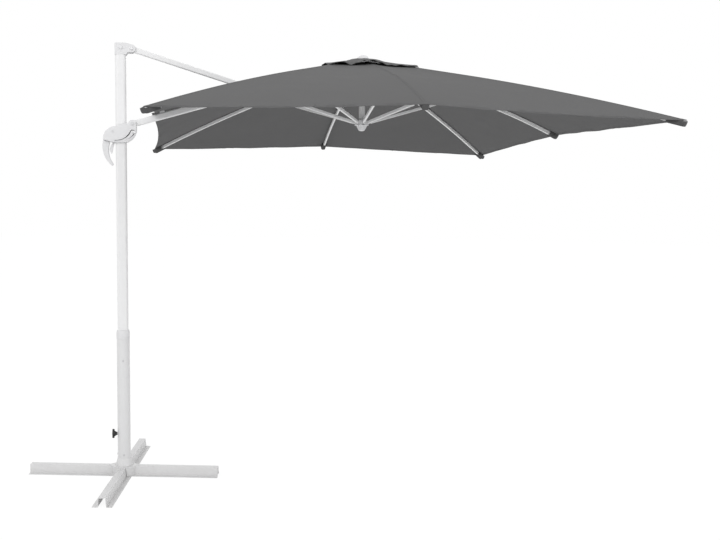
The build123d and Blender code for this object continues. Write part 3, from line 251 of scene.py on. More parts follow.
@dataclass(frozen=True)
class Finish:
    """A surface: one colour with grain, and dust near the floor."""

    name: str
    colour: tuple[float, float, float]
    roughness: float
    metallic: float = 0.0
    grain_scale: float = 900.0
    grain_height: float = 0.00004
    tone: float = 0.04
    dust: float = 0.0
    specular: float = 0.5
    woven: bool = False

    def build(self, groups: dict[str, bpy.types.NodeTree]) -> bpy.types.Material:
        """Make the material.

        Args:
            groups: the shared shader groups by name.

        Returns:
            The material.
        """
        material = bpy.data.materials.new(self.name)
        material.use_nodes = True
        tree = material.node_tree
        shader = next(n for n in tree.nodes if n.type == "BSDF_PRINCIPLED")
        place = tree.nodes.new("ShaderNodeTexCoord").outputs["Object"]
        effect = tree.nodes.new("ShaderNodeGroup")
        effect.node_tree = groups["weave" if self.woven else "grain"]
        tree.links.new(place, effect.inputs["Position"])
        effect.inputs["Threads" if self.woven else "Grain Scale"].default_value = self.grain_scale
        effect.inputs["Tone"].default_value = self.tone
        lighter = tree.nodes.new("ShaderNodeMath")
        lighter.operation = "ADD"
        lighter.inputs[1].default_value = 1.0
        tree.links.new(effect.outputs["Tone"], lighter.inputs[0])
        tinted = tree.nodes.new("ShaderNodeVectorMath")
        tinted.operation = "SCALE"
        tinted.inputs[0].default_value = self.colour
        tree.links.new(lighter.outputs[0], tinted.inputs["Scale"])
        colour = tinted.outputs[0]
        if self.dust > 0.0:
            film = tree.nodes.new("ShaderNodeGroup")
            film.node_tree = groups["dust"]
            tree.links.new(place, film.inputs["Position"])
            thinned = tree.nodes.new("ShaderNodeMath")
            thinned.operation = "MULTIPLY"
            thinned.inputs[1].default_value = self.dust
            tree.links.new(film.outputs["Mask"], thinned.inputs[0])
            mix = tree.nodes.new("ShaderNodeMix")
            mix.data_type = "RGBA"
            mix.inputs["B"].default_value = (0.33, 0.31, 0.28, 1.0)
            tree.links.new(thinned.outputs[0], mix.inputs["Factor"])
            tree.links.new(colour, mix.inputs["A"])
            colour = mix.outputs["Result"]
        tree.links.new(colour, shader.inputs["Base Color"])
        rough = tree.nodes.new("ShaderNodeMath")
        rough.operation = "ADD"
        rough.inputs[1].default_value = self.roughness
        tree.links.new(effect.outputs["Tone"], rough.inputs[0])
        tree.links.new(rough.outputs[0], shader.inputs["Roughness"])
        shader.inputs["Metallic"].default_value = self.metallic
        shader.inputs["Specular IOR Level"].default_value = self.specular
        bump = tree.nodes.new("ShaderNodeBump")
        bump.inputs["Strength"].default_value = 0.6
        bump.inputs["Distance"].default_value = self.grain_height
        tree.links.new(effect.outputs["Height"], bump.inputs["Height"])
        tree.links.new(bump.outputs[0], shader.inputs["Normal"])
        return material


CANOPY_GREY = (0.131, 0.131, 0.132)
FINISHES = {
    "coated_steel": Finish("powder_coat_steel", (0.71, 0.71, 0.715), 0.42, dust=0.25),
    "coated_aluminium": Finish("powder_coat_aluminium", (0.80, 0.80, 0.805), 0.40),
    "plated_steel": Finish(
        "zinc_plate", (0.62, 0.62, 0.63), 0.34, metallic=0.9, grain_scale=1400.0, tone=0.10,
    ),
    "light_plastic": Finish(
        "light_moulding", (0.72, 0.72, 0.73), 0.48, grain_scale=1500.0, grain_height=0.00003,
    ),
    "bearing_plastic": Finish("bearing_moulding", (0.42, 0.42, 0.43), 0.5, grain_scale=1500.0),
    "knob_plastic": Finish("black_moulding", (0.012, 0.012, 0.013), 0.46, grain_scale=1300.0, tone=0.12),
    "brake_rubber": Finish("brake_pad_rubber", (0.03, 0.03, 0.03), 0.85, grain_scale=600.0, tone=0.15),
    "canopy_fabric": Finish(
        "coated_canopy_cloth", CANOPY_GREY, 0.92, grain_scale=420.0, grain_height=0.00015, tone=0.10,
        specular=0.12, woven=True,
    ),
    "hem_tape": Finish(
        "canopy_binding", (0.088, 0.088, 0.089), 0.92, grain_scale=700.0, grain_height=0.0002, tone=0.12,
        specular=0.12, woven=True,
    ),
    "sewing_thread": Finish("sewing_thread", (0.085, 0.085, 0.086), 0.7, grain_scale=2500.0, tone=0.2),
}


class Wardrobe:
    """All materials, each made once."""

    def __init__(self) -> None:
        """Build the groups and every finish."""
        groups = {"grain": grain_group(), "dust": dust_group(), "weave": weave_group()}
        self.materials = {key: finish.build(groups) for key, finish in FINISHES.items()}

    def dress(self, piece: bpy.types.Object, key: str) -> None:
        """Give a piece one material."""
        piece.data.materials.clear()
        piece.data.materials.append(self.materials[key])


# ---------------------------------------------------------------- meshes


@dataclass
class Sheet:
    """Cloth as a middle surface of quads that gets its thickness on both sides."""

    points: list[Vector] = field(default_factory=list)
    normals: list[Vector] = field(default_factory=list)
    halves: list[float] = field(default_factory=list)
    quads: list[tuple[int, ...]] = field(default_factory=list)

    def add(self, point: Vector, normal: Vector, half: float) -> int:
        """Add a point.

        Args:
            point: its place on the middle surface.
            normal: the cloth's normal there, of any length.
            half: half the cloth's thickness there.

        Returns:
            The point's number.
        """
        self.points.append(point)
        self.normals.append(normal.normalized())
        self.halves.append(half)
        return len(self.points) - 1

    def add_grid(self, grid: Sequence[Row], half: float) -> list[list[int]]:
        """Add rows of points, with normals worked out from their neighbours.

        Args:
            grid: the rows.
            half: half the cloth's thickness.

        Returns:
            The points' numbers, row by row.
        """
        numbers = []
        for r, row in enumerate(grid):
            above, below = grid[max(0, r - 1)], grid[min(len(grid) - 1, r + 1)]
            numbers.append([
                self.add(
                    point,
                    (below[c] - above[c]).cross(row[min(len(row) - 1, c + 1)] - row[max(0, c - 1)]),
                    half,
                )
                for c, point in enumerate(row)
            ])
        return numbers

    def area(self) -> float:
        """Area of the middle surface.

        Returns:
            The area in square metres.
        """
        total = 0.0
        for a, b, c, d in self.quads:
            p = self.points
            total += ((p[b] - p[a]).cross(p[c] - p[a])).length / 2.0
            total += ((p[c] - p[a]).cross(p[d] - p[a])).length / 2.0
        return total

    def build(self, name: str) -> bpy.types.Object:
        """Close the cloth into a thin solid.

        Args:
            name: the piece's name.

        Returns:
            The object, with smooth shading on both faces.
        """
        used = sorted({corner for quad in self.quads for corner in quad})
        place = {old: new for new, old in enumerate(used)}
        count = len(used)
        tops = [self.points[i] + self.normals[i] * self.halves[i] for i in used]
        bottoms = [self.points[i] - self.normals[i] * self.halves[i] for i in used]
        faces: list[tuple[int, ...]] = []
        loops: list[Vector] = []
        edges: set[tuple[int, int]] = set()
        for quad in self.quads:
            corners = [place[i] for i in quad]
            faces.append(tuple(corners))
            loops += [self.normals[i] for i in quad]
            faces.append(tuple(i + count for i in reversed(corners)))
            loops += [-self.normals[i] for i in reversed(quad)]
            edges |= set(zip(corners, corners[1:] + corners[:1]))
        for start, end in sorted(edges):
            if (end, start) not in edges:
                wall = (end, start, start + count, end + count)
                corners_at = [(tops + bottoms)[i] for i in wall]
                out = (corners_at[1] - corners_at[0]).cross(corners_at[3] - corners_at[0]).normalized()
                faces.append(wall)
                loops += [out] * 4
        mesh = bpy.data.meshes.new(name)
        mesh.from_pydata(tops + bottoms, [], faces)
        mesh.shade_smooth()
        mesh.normals_split_custom_set(loops)
        piece = bpy.data.objects.new(name, mesh)
        bpy.context.scene.collection.objects.link(piece)
        return piece


def grid_quads(rows: Sequence[Sequence[int]], keep: Callable[[int, int], bool] = lambda r, c: True) -> list:
    """Quads between rows of point numbers.

    Args:
        rows: the numbers, row by row.
        keep: says for a row and a column whether its quad is made.

    Returns:
        The quads.
    """
    return [
        (rows[r][c], rows[r + 1][c], rows[r + 1][c + 1], rows[r][c + 1])
        for r in range(len(rows) - 1)
        for c in range(len(rows[r]) - 1)
        if keep(r, c)
    ]


def swept_band(name: str, path: Row, ups: Row, width: float, depth: float) -> bpy.types.Object:
    """A flat band with rounded edges round a closed path.

    Args:
        name: the piece's name.
        path: its middle line.
        ups: the band's normal at each point.
        width: full width.
        depth: full thickness.

    Returns:
        The object.
    """
    section = [
        (0.5, 0.18), (0.38, 0.5), (-0.38, 0.5), (-0.5, 0.18),
        (-0.5, -0.18), (-0.38, -0.5), (0.38, -0.5), (0.5, -0.18),
    ]
    points: Row = []
    count = len(path)
    for index, middle in enumerate(path):
        before = path[index - 1]
        after = path[(index + 1) % count]
        across = (after - before).cross(ups[index]).normalized()
        rise = across.cross(after - before).normalized()
        points += [middle + across * (x * width) + rise * (z * depth) for x, z in section]
    faces: list[tuple[int, ...]] = []
    ring = len(section)
    for index in range(count):
        here = index * ring
        there = (index + 1) % count * ring
        for near in range(ring):
            far = (near + 1) % ring
            faces.append((here + near, here + far, there + far, there + near))
    mesh = bpy.data.meshes.new(name)
    mesh.from_pydata(points, [], faces)
    mesh.shade_smooth()
    piece = bpy.data.objects.new(name, mesh)
    bpy.context.scene.collection.objects.link(piece)
    return piece


class StitchTree:
    """Geometry Nodes that sew rows of stitches along lines."""

    def __init__(self, thread: bpy.types.Material) -> None:
        """Build the tree once.

        Args:
            thread: the stitches' material.
        """
        tree = bpy.data.node_groups.new("sewn_stitches", "GeometryNodeTree")
        tree.interface.new_socket("Lines", in_out="INPUT", socket_type="NodeSocketGeometry")
        for key in ("Pitch", "Stitch Length", "Thread Width"):
            tree.interface.new_socket(key, in_out="INPUT", socket_type="NodeSocketFloat")
        tree.interface.new_socket("Stitches", in_out="OUTPUT", socket_type="NodeSocketGeometry")
        node = tree.nodes.new
        entry = node("NodeGroupInput")
        leave = node("NodeGroupOutput")
        curve = node("GeometryNodeMeshToCurve")
        resample = node("GeometryNodeResampleCurve")
        resample.mode = "LENGTH"
        spots = node("GeometryNodeInstanceOnPoints")
        turn = node("FunctionNodeAlignRotationToVector")
        turn.axis = "X"
        tangent = node("GeometryNodeInputTangent")
        stitch = node("GeometryNodeMeshCube")
        size = node("ShaderNodeCombineXYZ")
        real = node("GeometryNodeRealizeInstances")
        paint = node("GeometryNodeSetMaterial")
        paint.inputs["Material"].default_value = thread
        link = tree.links.new
        link(entry.outputs["Lines"], curve.inputs["Mesh"])
        link(curve.outputs["Curve"], resample.inputs["Curve"])
        link(entry.outputs["Pitch"], resample.inputs["Length"])
        link(resample.outputs["Curve"], spots.inputs["Points"])
        link(entry.outputs["Stitch Length"], size.inputs["X"])
        link(entry.outputs["Thread Width"], size.inputs["Y"])
        link(entry.outputs["Thread Width"], size.inputs["Z"])
        link(size.outputs[0], stitch.inputs["Size"])
        link(stitch.outputs["Mesh"], spots.inputs["Instance"])
        link(tangent.outputs[0], turn.inputs["Vector"])
        link(turn.outputs[0], spots.inputs["Rotation"])
        link(spots.outputs["Instances"], real.inputs["Geometry"])
        link(real.outputs["Geometry"], paint.inputs["Geometry"])
        link(paint.outputs["Geometry"], leave.inputs["Stitches"])
        self.tree = tree
        self.thread = thread

    def sew(self, name: str, lines: list[Row], pitch: float = 0.0065) -> bpy.types.Object:
        """Sew stitches along lines.

        Args:
            name: the piece's name.
            lines: the rows' points.
            pitch: distance between stitches.

        Returns:
            One plain mesh of stitches.
        """
        points: Row = []
        edges: list[tuple[int, int]] = []
        for line in lines:
            first = len(points)
            points += line
            edges += [(first + i, first + i + 1) for i in range(len(line) - 1)]
        guide_mesh = bpy.data.meshes.new(name + "_lines")
        guide_mesh.from_pydata(points, edges, [])
        guide = bpy.data.objects.new(name + "_lines", guide_mesh)
        bpy.context.scene.collection.objects.link(guide)
        sewing = guide.modifiers.new("sewing", "NODES")
        sewing.node_group = self.tree
        values = {"Pitch": pitch, "Stitch Length": pitch * 0.7, "Thread Width": 0.0007}
        for item in self.tree.interface.items_tree:
            if item.in_out == "INPUT" and item.name in values:
                sewing[item.identifier] = values[item.name]
        shown = guide.evaluated_get(bpy.context.evaluated_depsgraph_get())
        mesh = bpy.data.meshes.new_from_object(shown)
        mesh.name = name
        bpy.data.objects.remove(guide)
        bpy.data.meshes.remove(guide_mesh)
        mesh.materials.clear()
        mesh.materials.append(self.thread)
        piece = bpy.data.objects.new(name, mesh)
        bpy.context.scene.collection.objects.link(piece)
        return piece


# ---------------------------------------------------------------- canopy


@dataclass
class ClothForm:
    """Shape of the stretched canopy, worked out from the ribs and the frame's joints."""

    slope: float = math.radians(16.3)
    corner_slope: float = math.radians(13.0)
    half_side: float = 1.200
    corner_height: float = 1.947
    mid_reach: float = 1.186
    mid_height: float = 1.990
    hub_radius: float = 0.030
    rib_reach: float = 0.600
    rib_depth: float = 0.020
    boom_depth: float = 0.036
    clip_height: float = 0.008
    tip_inset: float = 0.010
    gap: float = 0.0038
    scallop: float = 0.026
    sag: float = 0.010
    crown: Vector = field(default_factory=lambda: joint_place("crown_joint") + Vector((0.030, 0.0, 0.0)))

    def rib_radius_height(self, azimuth: int, share: float) -> tuple[float, float]:
        """Middle of the cloth over a rib.

        Args:
            azimuth: the rib's direction, degrees.
            share: place along the rib, 0 at the crown and 1 at the hem.

        Returns:
            Distance from the crown's axis, and height.
        """
        corner = azimuth % 90 != 0
        slope = self.corner_slope if corner else self.slope
        if azimuth == 180:
            along = (self.mid_reach - self.hub_radius) / math.cos(slope) * share
            above, drop = self.boom_depth / 2 + self.clip_height * share + self.gap, 0.0
        else:
            reach = self.half_side * math.sqrt(2.0) if corner else self.mid_reach
            height = self.corner_height if corner else self.mid_height
            out = reach - self.tip_inset - self.hub_radius
            up = height - self.rib_depth / 2 - 0.003 - self.crown.z
            tip = out * math.cos(slope) - up * math.sin(slope)
            lift = out * math.sin(slope) + up * math.cos(slope)
            run = tip - self.rib_reach
            bow = (run * run + lift * lift) / (-2.0 * lift)
            along = (tip + self.tip_inset) * share
            drop = bow - math.sqrt(bow * bow - max(0.0, along - self.rib_reach) ** 2)
            above = self.rib_depth / 2 + self.gap
        out = self.hub_radius + along * math.cos(slope) + (above - drop) * math.sin(slope)
        return out, self.crown.z - along * math.sin(slope) + (above - drop) * math.cos(slope)

    def point(self, azimuth: float, share: float, slack: bool = True) -> Vector:
        """A point of the cloth's middle surface.

        Args:
            azimuth: direction from the crown, degrees.
            share: 0 at the crown, 1 at the hem.
            slack: whether the sag between the ribs is put in.

        Returns:
            The point.
        """
        first = int(azimuth // 45) * 45
        near_r, near_z = self.rib_radius_height(first % 360, share)
        far_r, far_z = self.rib_radius_height((first + 45) % 360, share)
        before = near_r * math.sin(math.radians(azimuth - first))
        after = far_r * math.sin(math.radians(first + 45 - azimuth))
        part = before / (before + after)
        turn, next_turn = math.radians(first), math.radians(first + 45)
        start = Vector((math.cos(turn) * near_r, math.sin(turn) * near_r, near_z))
        end = Vector((math.cos(next_turn) * far_r, math.sin(next_turn) * far_r, far_z))
        spot = start.lerp(end, part)
        span = 4.0 * part * (1.0 - part)
        pull = 1.0 - self.scallop * span * smooth_step(share, 0.35, 1.0)
        spot.x *= pull
        spot.y *= pull
        if slack:
            puckers = noise.noise(Vector((spot.x * 9.0, spot.y * 9.0, 4.0))) * 0.0022
            hem = smooth_step(share, 0.93, 1.0) * 0.0016 * math.sin(math.radians(azimuth) * 150.0)
            sag = self.sag * math.sin(math.pi * share)
            droop = 0.004 * smooth_step(share, 0.8, 1.0)
            spot.z += span * (puckers + hem - sag - droop)
        return Vector((self.crown.x + spot.x, spot.y, spot.z))

    def normal(self, azimuth: float, share: float) -> Vector:
        """Outward normal of the cloth by small differences.

        Args:
            azimuth: direction from the crown, degrees.
            share: 0 at the crown, 1 at the hem.

        Returns:
            The unit normal.
        """
        turn, step = 0.4, 0.004
        low, high = max(0.02, share - step), min(1.0, share + step)
        across = self.point(azimuth + turn, share) - self.point(azimuth - turn, share)
        down = self.point(azimuth, high) - self.point(azimuth, low)
        return down.cross(across).normalized()


@dataclass
class CanopyGore:
    """The cloth over one rib, from half way to the rib on each side."""

    form: ClothForm
    azimuth: int
    inner_share: float = 0.075
    cloth: float = 0.0009
    hem_width: float = 0.024
    seam_half: float = 0.008
    slit_half: float = 0.023
    slit_length: float = 0.160
    pocket_depth: float = 0.0268
    pocket_roundness: float = 3.2
    stitch_rise: float = 0.0013
    binding_width: float = 0.012
    binding_depth: float = 0.0032
    fold_keep: float = 0.305
    rows: int = 54
    side_columns: int = 11

    @property
    def body(self) -> str:
        """The body that carries this cloth."""
        return "boom" if self.azimuth == 180 else "rib_" + RIB_NAMES[self.azimuth]

    @property
    def length(self) -> float:
        """Length of the cloth along the rib."""
        return self.along(1.0)

    def along(self, share: float) -> float:
        """Distance from the crown along the rib's line."""
        return (self.form.point(self.azimuth, share) - self.form.point(self.azimuth, 0.0001)).length

    def shares(self) -> list[float]:
        """Rows of the cloth, with a step at the hem and at the slit's ends.

        Returns:
            Each row's share of the way from the crown to the hem.
        """
        hem = 1.0 - self.hem_width / self.length
        values = [self.inner_share + (hem - self.inner_share) * i / self.rows for i in range(self.rows + 1)]
        values += [hem + 0.0012, hem + (1.0 - hem) * 0.5, 1.0]
        if self.azimuth == 180:
            for edge in self.slit_shares():
                nearest = min(range(len(values)), key=lambda i: abs(values[i] - edge))
                values[nearest] = edge
        return values

    def slit_shares(self) -> tuple[float, float]:
        """Find where the slit for the stay starts and ends.

        Returns:
            The two shares of the way from the crown to the hem.
        """
        middle = (self.form.crown.x - joint_place("stay_joint").x - self.form.hub_radius) / (
            self.form.mid_reach - self.form.hub_radius
        )
        half = self.slit_length / 2 / self.length
        return middle - half, middle + half

    def turns(self, share: float) -> list[float]:
        """Places of one row's points, with the seam's width kept even.

        Args:
            share: the row's share of the way to the hem.

        Returns:
            Each point's turn from the rib, degrees.
        """
        radius = self.form.rib_radius_height(self.azimuth, share)[0]
        half = self.slit_half if self.azimuth == 180 else self.seam_half
        inner = min(9.0, math.degrees(math.atan(half / radius)))
        outer = inner + min(1.0, math.degrees(math.atan(0.0012 / radius)))
        side = [outer + (HALF_GORE - outer) * i / self.side_columns for i in range(self.side_columns + 1)]
        half_row = [inner] + side
        return [-t for t in reversed(half_row)] + [0.0] + half_row

    def half_thickness(self, share: float, column: int, columns: int) -> float:
        """Half the cloth's thickness, more at the hem and along the seam.

        Args:
            share: the row's share of the way to the hem.
            column: the point's number in its row.
            columns: number of points in a row.

        Returns:
            Half the thickness in metres.
        """
        middle = columns // 2
        extra = 0.0
        if share > 1.0 - self.hem_width / self.length + 0.0006:
            extra += 0.0007
        if abs(column - middle) <= 1 and self.azimuth != 180:
            extra += 0.0006
        return self.cloth / 2 + extra

    def place(self, turn: float, share: float) -> tuple[Vector, Vector]:
        """Point and normal of the cloth at a turn from the rib."""
        azimuth = (self.azimuth + turn) % 360
        return self.form.point(azimuth, share), self.form.normal(azimuth, share)

    def build_cloth(self) -> tuple[bpy.types.Object, float]:
        """Make the gore's cloth.

        Returns:
            The object and its flat area.
        """
        sheet = Sheet()
        shares = self.shares()
        rows: list[list[int]] = []
        for share in shares:
            turns = self.turns(share)
            row = []
            for column, turn in enumerate(turns):
                point, normal = self.place(turn, share)
                row.append(sheet.add(point, normal, self.half_thickness(share, column, len(turns))))
            rows.append(row)
        middle = len(rows[0]) // 2
        slit = self.slit_shares()

        def keep(row: int, column: int) -> bool:
            """Leave out the slit over the boom.

            Args:
                row: the quad's row.
                column: the quad's column.

            Returns:
                Whether the quad is cloth.
            """
            if self.azimuth != 180 or column not in (middle - 1, middle):
                return True
            return not slit[0] - 1e-6 <= shares[row] < slit[1] - 1e-6

        sheet.quads = grid_quads(rows, keep)
        return sheet.build(f"canopy_gore_{RIB_NAMES[self.azimuth]}"), sheet.area()

    def line(self, offset: float, side: Side, start: float = 0.24) -> Row:
        """A line beside the seam, on one face of the cloth.

        Args:
            offset: distance from the rib's middle.
            side: the face that it lies on.
            start: share of the way to the hem where it starts.

        Returns:
            The line's points.
        """
        points = []
        for index in range(61):
            share = start + (0.985 - start) * index / 60
            radius = self.form.rib_radius_height(self.azimuth, share)[0]
            point, normal = self.place(math.degrees(math.atan(offset / radius)), share)
            points.append(point + normal * (side.value * self.stitch_rise))
        return points

    def hem_line(self, inset: float, side: Side) -> Row:
        """A line along the hem, on one face of the cloth.

        Args:
            inset: distance from the hem's edge.
            side: the face that it lies on.

        Returns:
            The line's points.
        """
        share = 1.0 - inset / self.length
        points = []
        for index in range(46):
            point, normal = self.place(-HALF_GORE + 2.0 * HALF_GORE * index / 45, share)
            points.append(point + normal * (side.value * self.stitch_rise))
        return points

    def build_pocket(self) -> bpy.types.Object:
        """Make the closed pocket under the cloth that holds the rib's tip.

        Returns:
            The object.
        """
        corner = self.azimuth % 90 != 0
        reach, half = (0.080, 0.019) if corner else (0.050, 0.015)
        inner, tip = self.form.point(self.azimuth, 0.95), self.form.point(self.azimuth, 1.0)
        ahead, down = (tip - inner).normalized(), -self.form.normal(self.azimuth, 0.99)
        inside = [(reach * (1.0 - index / 10.0), 1.0) for index in range(11)]
        grid: list[Row] = []
        for inset, fullness in inside + [(-0.0014, 0.97), (-0.0022, 0.85), (-0.0025, 0.04)]:
            share = 1.0 - inset / self.length
            radius = self.form.rib_radius_height(self.azimuth, share)[0]
            middle = self.form.point(self.azimuth, share)
            row = []
            for column in range(19):
                across = math.sin(math.radians(-90.0 + 10.0 * column))
                aside = math.degrees(math.atan(across * half / radius))
                spot = self.form.point((self.azimuth + aside) % 360, share)
                spot += ahead * (middle - spot).dot(ahead)
                round_off = (1.0 - abs(across) ** self.pocket_roundness) ** (1.0 / self.pocket_roundness)
                bag = self.pocket_depth * fullness * round_off
                rim = 0.0012 if inset > 0.0 else -0.0002
                row.append(spot + down * (rim + bag))
            grid.append(row)
        sheet = Sheet()
        sheet.quads = grid_quads(sheet.add_grid(grid, 0.00045))
        return sheet.build(f"tip_pocket_{RIB_NAMES[self.azimuth]}")

    def build_slit_binding(self) -> bpy.types.Object:
        """Make the tape that binds the slit over the boom.

        Returns:
            The object.
        """
        low, high = self.slit_shares()
        half = self.slit_half
        outline: list[tuple[float, float]] = []
        for index in range(25):
            outline.append((half, low + (high - low) * index / 24))
        for index in range(1, 8):
            outline.append((half - 2 * half * index / 8, high))
        for index in range(25):
            outline.append((-half, high - (high - low) * index / 24))
        for index in range(1, 8):
            outline.append((-half + 2 * half * index / 8, low))
        path, ups = [], []
        for offset, share in outline:
            radius = self.form.rib_radius_height(180, share)[0]
            point, normal = self.place(math.degrees(math.atan(offset / radius)), share)
            path.append(point)
            ups.append(normal)
        return swept_band("slit_binding", path, ups, self.binding_width, self.binding_depth)

    def squeeze(self, piece: bpy.types.Object) -> None:
        """Attach a piece to its rib's body and give it a mesh of its own.

        Args:
            piece: the cloth or stitches.
        """
        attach(piece, self.body)
        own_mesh(piece)

    def build(self, wardrobe: Wardrobe, stitches: StitchTree) -> None:
        """Make, dress and attach everything sewn to this rib.

        Args:
            wardrobe: the materials.
            stitches: the tree that sews the stitch rows.
        """
        name = RIB_NAMES[self.azimuth]
        cloth, area = self.build_cloth()
        wardrobe.dress(cloth, "canopy_fabric")
        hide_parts("canopy_cloth")
        lines = [self.hem_line(inset, side) for inset in (0.005, 0.019) for side in Side]
        if self.azimuth != 180:
            lines += [self.line(offset, side) for offset in (-0.0055, 0.0055) for side in Side]
        sewn = stitches.sew(f"canopy_stitches_{name}", lines)
        extras = [sewn]
        if self.azimuth != 180:
            pocket = self.build_pocket()
            wardrobe.dress(pocket, "hem_tape")
            extras.append(pocket)
        else:
            binding = self.build_slit_binding()
            wardrobe.dress(binding, "hem_tape")
            extras.append(binding)
        for piece in [cloth] + extras:
            if piece.name.startswith("tip_pocket"):
                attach(piece, self.body)
            else:
                self.squeeze(piece)
        hem_start = self.form.point((self.azimuth - HALF_GORE) % 360, 1.0)
        hem_end = self.form.point((self.azimuth + HALF_GORE) % 360, 1.0)
        width = max((hem_start - hem_end).length, area / self.length)
        self.length
        LOG.info("canopy gore %s: %.3f m2", name, area)


LOBE_EDGES = (-1.0, -0.5, 0.33, 1.0)
RUFFLES = (  # metres, heights of the three lobes on the east, north, west and south sides
    (0.015, 0.011, 0.016), (0.012, 0.018, 0.014), (0.016, 0.013, 0.012), (0.016, 0.021, 0.005),
)


@dataclass
class VentGore:
    """One eighth of the ruffled vent cap over the crown."""

    form: ClothForm
    azimuth: int
    inner_radius: float = 0.040
    reach: float = 0.190
    fold_keep: float = 0.37
    rows: int = 20
    columns: int = 32

    def edge_lift(self, azimuth: float) -> float:
        """Height of the ruffled edge above the canopy.

        Args:
            azimuth: direction from the crown, degrees.

        Returns:
            The height in metres.
        """
        side, turn = divmod((azimuth + 45.0) % 360.0, 90.0)
        across = math.tan(math.radians(turn - 45.0))
        lobe = sum(across > edge for edge in LOBE_EDGES[1:-1])
        low, high = LOBE_EDGES[lobe], LOBE_EDGES[lobe + 1]
        wave = math.sin(math.pi * min(1.0, max(0.0, (across - low) / (high - low))))
        return RUFFLES[int(side)][lobe] * wave ** 1.5

    def point(self, azimuth: float, part: float) -> Vector:
        """A point of the vent cap.

        Args:
            azimuth: direction from the crown, degrees.
            part: 0 at the finial, 1 at the free edge.

        Returns:
            The point.
        """
        turn = math.radians(azimuth)
        edge = self.form.point(azimuth % 360, self.reach, slack=False)
        under = self.form.point(azimuth % 360, max(0.02, self.reach * part), slack=False)
        start = Vector((
            self.form.crown.x + self.inner_radius * math.cos(turn), self.inner_radius * math.sin(turn),
            self.form.crown.z + 0.0135,
        ))
        spot = start.lerp(edge, part)
        spread = smooth_step(part, 0.0, 0.35)
        spot.z = max(start.z * (1.0 - spread) + under.z * spread, under.z)
        flare = 1.0 + 0.05 * noise.noise(Vector((3.0 * math.cos(turn), 3.0 * math.sin(turn), 1.7))) * part
        spot.x = self.form.crown.x + (spot.x - self.form.crown.x) * flare
        spot.y *= flare
        crease = 0.0022 * math.sin(34.0 * turn + 5.0 * part) * smooth_step(part, 0.2, 0.8)
        spot.z += 0.0034 + self.edge_lift(azimuth) * part ** 1.3 + crease * part
        return spot

    def build(self, wardrobe: Wardrobe, stitches: StitchTree) -> None:
        """Make, dress and attach this part of the vent cap.

        Args:
            wardrobe: the materials.
            stitches: the tree that sews the stitch rows.
        """
        sheet = Sheet()
        rows = []
        for row_index in range(self.rows + 1):
            part = row_index / self.rows
            row = []
            for column in range(self.columns + 1):
                azimuth = self.azimuth - HALF_GORE + 2.0 * HALF_GORE * column / self.columns
                low, high = max(0.0, part - 0.02), min(1.0, part + 0.02)
                down = self.point(azimuth, high) - self.point(azimuth, low)
                across = self.point(azimuth + 0.5, part) - self.point(azimuth - 0.5, part)
                half = 0.00045 + (0.0006 if part > 0.93 else 0.0)
                row.append(sheet.add(self.point(azimuth, part), down.cross(across), half))
            rows.append(row)
        sheet.quads = grid_quads(rows)
        name = RIB_NAMES[self.azimuth]
        cloth = sheet.build(f"vent_gore_{name}")
        wardrobe.dress(cloth, "canopy_fabric")
        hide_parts("vent_cloth")
        line = []
        for column in range(self.columns + 1):
            azimuth = self.azimuth - HALF_GORE + 2.0 * HALF_GORE * column / self.columns
            line.append(self.point(azimuth, 0.955) + UP * 0.0012)
        sewn = stitches.sew(f"vent_stitches_{name}", [line])
        for piece in (cloth, sewn):
            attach(piece, "boom" if self.azimuth == 180 else "rib_" + name)
            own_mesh(piece)
        area = sheet.area()
        length = (self.point(self.azimuth, 1.0) - self.point(self.azimuth, 0.0)).length
        LOG.info("vent gore %s: %.4f m2", name, area)


@dataclass
class Canopy:
    """The whole cloth roof: eight gores and the vent cap."""

    wardrobe: Wardrobe
    form: ClothForm = field(default_factory=ClothForm)

    def build(self) -> None:
        """Build every gore and the vent cap over it."""
        stitches = StitchTree(self.wardrobe.materials["sewing_thread"])
        for azimuth in RIB_NAMES:
            CanopyGore(self.form, azimuth).build(self.wardrobe, stitches)
            VentGore(self.form, azimuth).build(self.wardrobe, stitches)


@dataclass
class Frame:
    """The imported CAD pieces, which keep their shape and get their finish."""

    wardrobe: Wardrobe

    def build(self) -> None:
        """Dress every node after its slot in the record."""
        for entry in frame["record"]["subparts"]:
            self.wardrobe.dress(frame["nodes"][entry["node"]], entry["material_slot"])


# ---------------------------------------------------------------- studio


